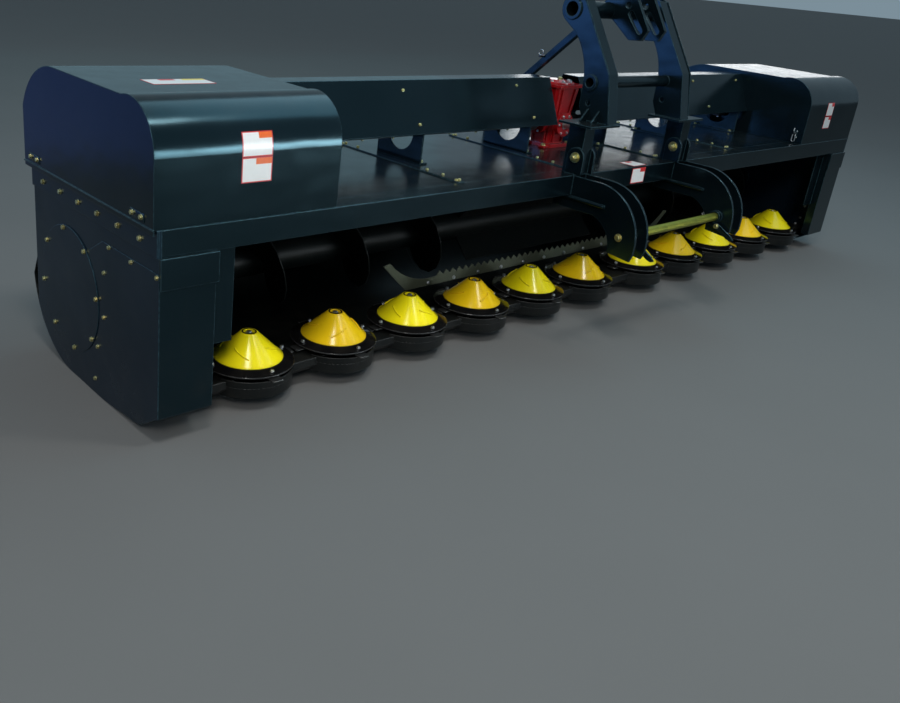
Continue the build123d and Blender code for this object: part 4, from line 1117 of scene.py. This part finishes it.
class Stage(Step):
    """Lay the floor and set the lamps, the sky and the camera"""

    bl_idname = "harvester.stage"
    bl_label = "Stage"

    def execute(self, context):
        self.floor()
        self.sky(context.scene)
        self.lamps()
        self.camera(context.scene)
        context.scene.view_settings.view_transform = "Standard"
        return {"FINISHED"}

    @staticmethod
    def floor():
        """Plain grey floor."""
        reach = 400.0
        data = bpy.data.meshes.new("floor")
        corners = [(-reach, -reach, 0), (reach, -reach, 0), (reach, reach, 0), (-reach, reach, 0)]
        data.from_pydata(corners, [], [(0, 1, 2, 3)])
        shader = Shader("floor")
        tone = shader.noise(shader.place(), 0.8, 4.0)
        shade = shader.mix(tone, (0.130, 0.129, 0.125), (0.150, 0.149, 0.146))
        data.materials.append(shader.finish(shade, 0.85 + 0.1 * tone))
        floor = bpy.data.objects.new("floor", data)
        bpy.context.scene.collection.objects.link(floor)

    @staticmethod
    def sky(scene):
        """Plain soft sky."""
        world = bpy.data.worlds.new("sky")
        scene.world = world
        world.use_nodes = True
        background = world.node_tree.nodes["Background"]
        background.inputs["Color"].default_value = (0.52, 0.71, 0.84, 1)
        background.inputs["Strength"].default_value = 0.38

    @staticmethod
    def lamps():
        """Soft lamps round the machine, and small ones for the streaks on cones and folds."""
        # Name, place, aim, size, watts, spread in degrees and colour
        rows = (
            ("rear_lamp", (0.0, 10.5, 3.4), (0, 0, 1.2), (20.0, 4.6), 20.0, 180, (0.12, 0.85, 1.0)),
            ("glare_lamp", (11.3, 4.9, 1.95), (2.0, 0.2, 1.27), (4.2, 0.9), 1.45, 40, (1.0, 1.0, 1.0)),
            ("deck_glare", (8.9, 6.7, 2.3), (0.1, 0.3, 0.9), (1.5, 1.7), 0.61, 40, (1.0, 1.0, 1.0)),
            ("side_lamp", (-13.5, 8.5, 1.9), (-0.4, 0.2, 1.4), (9.0, 3.6), 15.0, 40, (0.22, 0.40, 1.0)),
            ("side_glow", (-5.1, 3.6, 0.58), (-2.9, 0.0, 0.9), (3.8, 1.1), 0.52, 60, (0.12, 0.24, 1.0)),
            ("sky_lamp", (3.5, 0.3, 8.0), (-0.5, 0.2, 0.6), (9.0, 5.0), 255.0, 180, (0.50, 0.84, 1.0)),
            ("fold_lamp", (2.2, -6.7, 0.8), (-2.5, -0.35, 1.1), (3.8, 0.9), 19.0, 50, (0.86, 0.96, 1.0)),
            ("key_lamp", (-7.0, -6.5, 6.5), (-0.6, -0.3, 0.4), (2.2, 2.2), 330.0, 180, (1.0, 0.97, 0.92)),
            ("left_spot", (-3.9, -2.5, 7.7), (-1.0, 0.0, 0.4), (1.2, 1.2), 150.0, 180, (1.0, 0.98, 0.95)),
            ("right_spot", (0.2, -3.0, 7.2), (0.0, 0.0, 0.4), (0.9, 0.9), 100.0, 180, (1.0, 0.98, 0.95)),
        )
        for name, position, target, size, power, spread, colour in rows:
            lamp = bpy.data.lights.new(name, "AREA")
            lamp.shape = "RECTANGLE"
            lamp.size, lamp.size_y = size
            lamp.energy = power
            lamp.spread = math.radians(spread)
            lamp.color = colour
            holder = bpy.data.objects.new(name, lamp)
            holder.location = position
            way = Vector(target) - Vector(position)
            holder.rotation_euler = way.to_track_quat("-Z", "Y").to_euler()
            bpy.context.scene.collection.objects.link(holder)

    @staticmethod
    def camera(scene):
        """Camera at the photograph's place, from the machine's left front and a little above."""
        lens = bpy.data.cameras.new("camera")
        lens.sensor_width = 36.0
        lens.lens = 35.30
        lens.shift_x = 0.1064
        lens.shift_y = -0.0494
        lens.clip_end = 200.0
        holder = bpy.data.objects.new("camera", lens)
        right = Vector((0.7565, -0.6474, 0.0921)).normalized()
        back = Vector((-0.6302, -0.6841, 0.3673)).normalized()
        up = back.cross(right).normalized()
        right = up.cross(back)
        turned = Matrix((right, up, back)).transposed().to_4x4()
        holder.matrix_world = Matrix.Translation(spot(-4308.7, -2557.7, 920.3)) @ turned
        scene.collection.objects.link(holder)
        scene.camera = holder


class HarvesterPanel(bpy.types.Panel):
    """Lists the harvester's operators and settings"""

    bl_idname = "VIEW3D_PT_harvester"
    bl_label = "Cotton Stalk Harvester"
    bl_space_type = "VIEW_3D"
    bl_region_type = "UI"
    bl_category = "Harvester"

    def draw(self, context):
        layout = self.layout
        for group in (context.scene.harvester_look, context.scene.harvester_sizes):
            for name in group.__annotations__:
                layout.prop(group, name)
        for operator in STEPS:
            layout.operator(operator.bl_idname)


STEPS = (PaintNodes, EndSkins, EndBolts, Labels, HoodFittings, DeckBolts, GuardBolts, GearboxFittings,
         ShaftFittings, MastFittings, BracePin, HitchFittings, Cones, Knives, ShoeWalls, SillBolts, OutletLip,
         Stage)
CLASSES = (HarvesterLook, HarvesterSizes, *STEPS, HarvesterPanel)


def register():
    """Registers the add-on's classes and settings."""
    for cls in CLASSES:
        bpy.utils.register_class(cls)
    bpy.types.Scene.harvester_look = PointerProperty(type=HarvesterLook)
    bpy.types.Scene.harvester_sizes = PointerProperty(type=HarvesterSizes)


def unregister():
    """Removes them again."""
    del bpy.types.Scene.harvester_sizes
    del bpy.types.Scene.harvester_look
    for cls in reversed(CLASSES):
        bpy.utils.unregister_class(cls)


def main():
    """Dresses the harvester."""
    register()
    for operator in STEPS:
        group, name = operator.bl_idname.split(".")
        getattr(getattr(bpy.ops, group), name)()


if __name__ == "__main__":
    main()
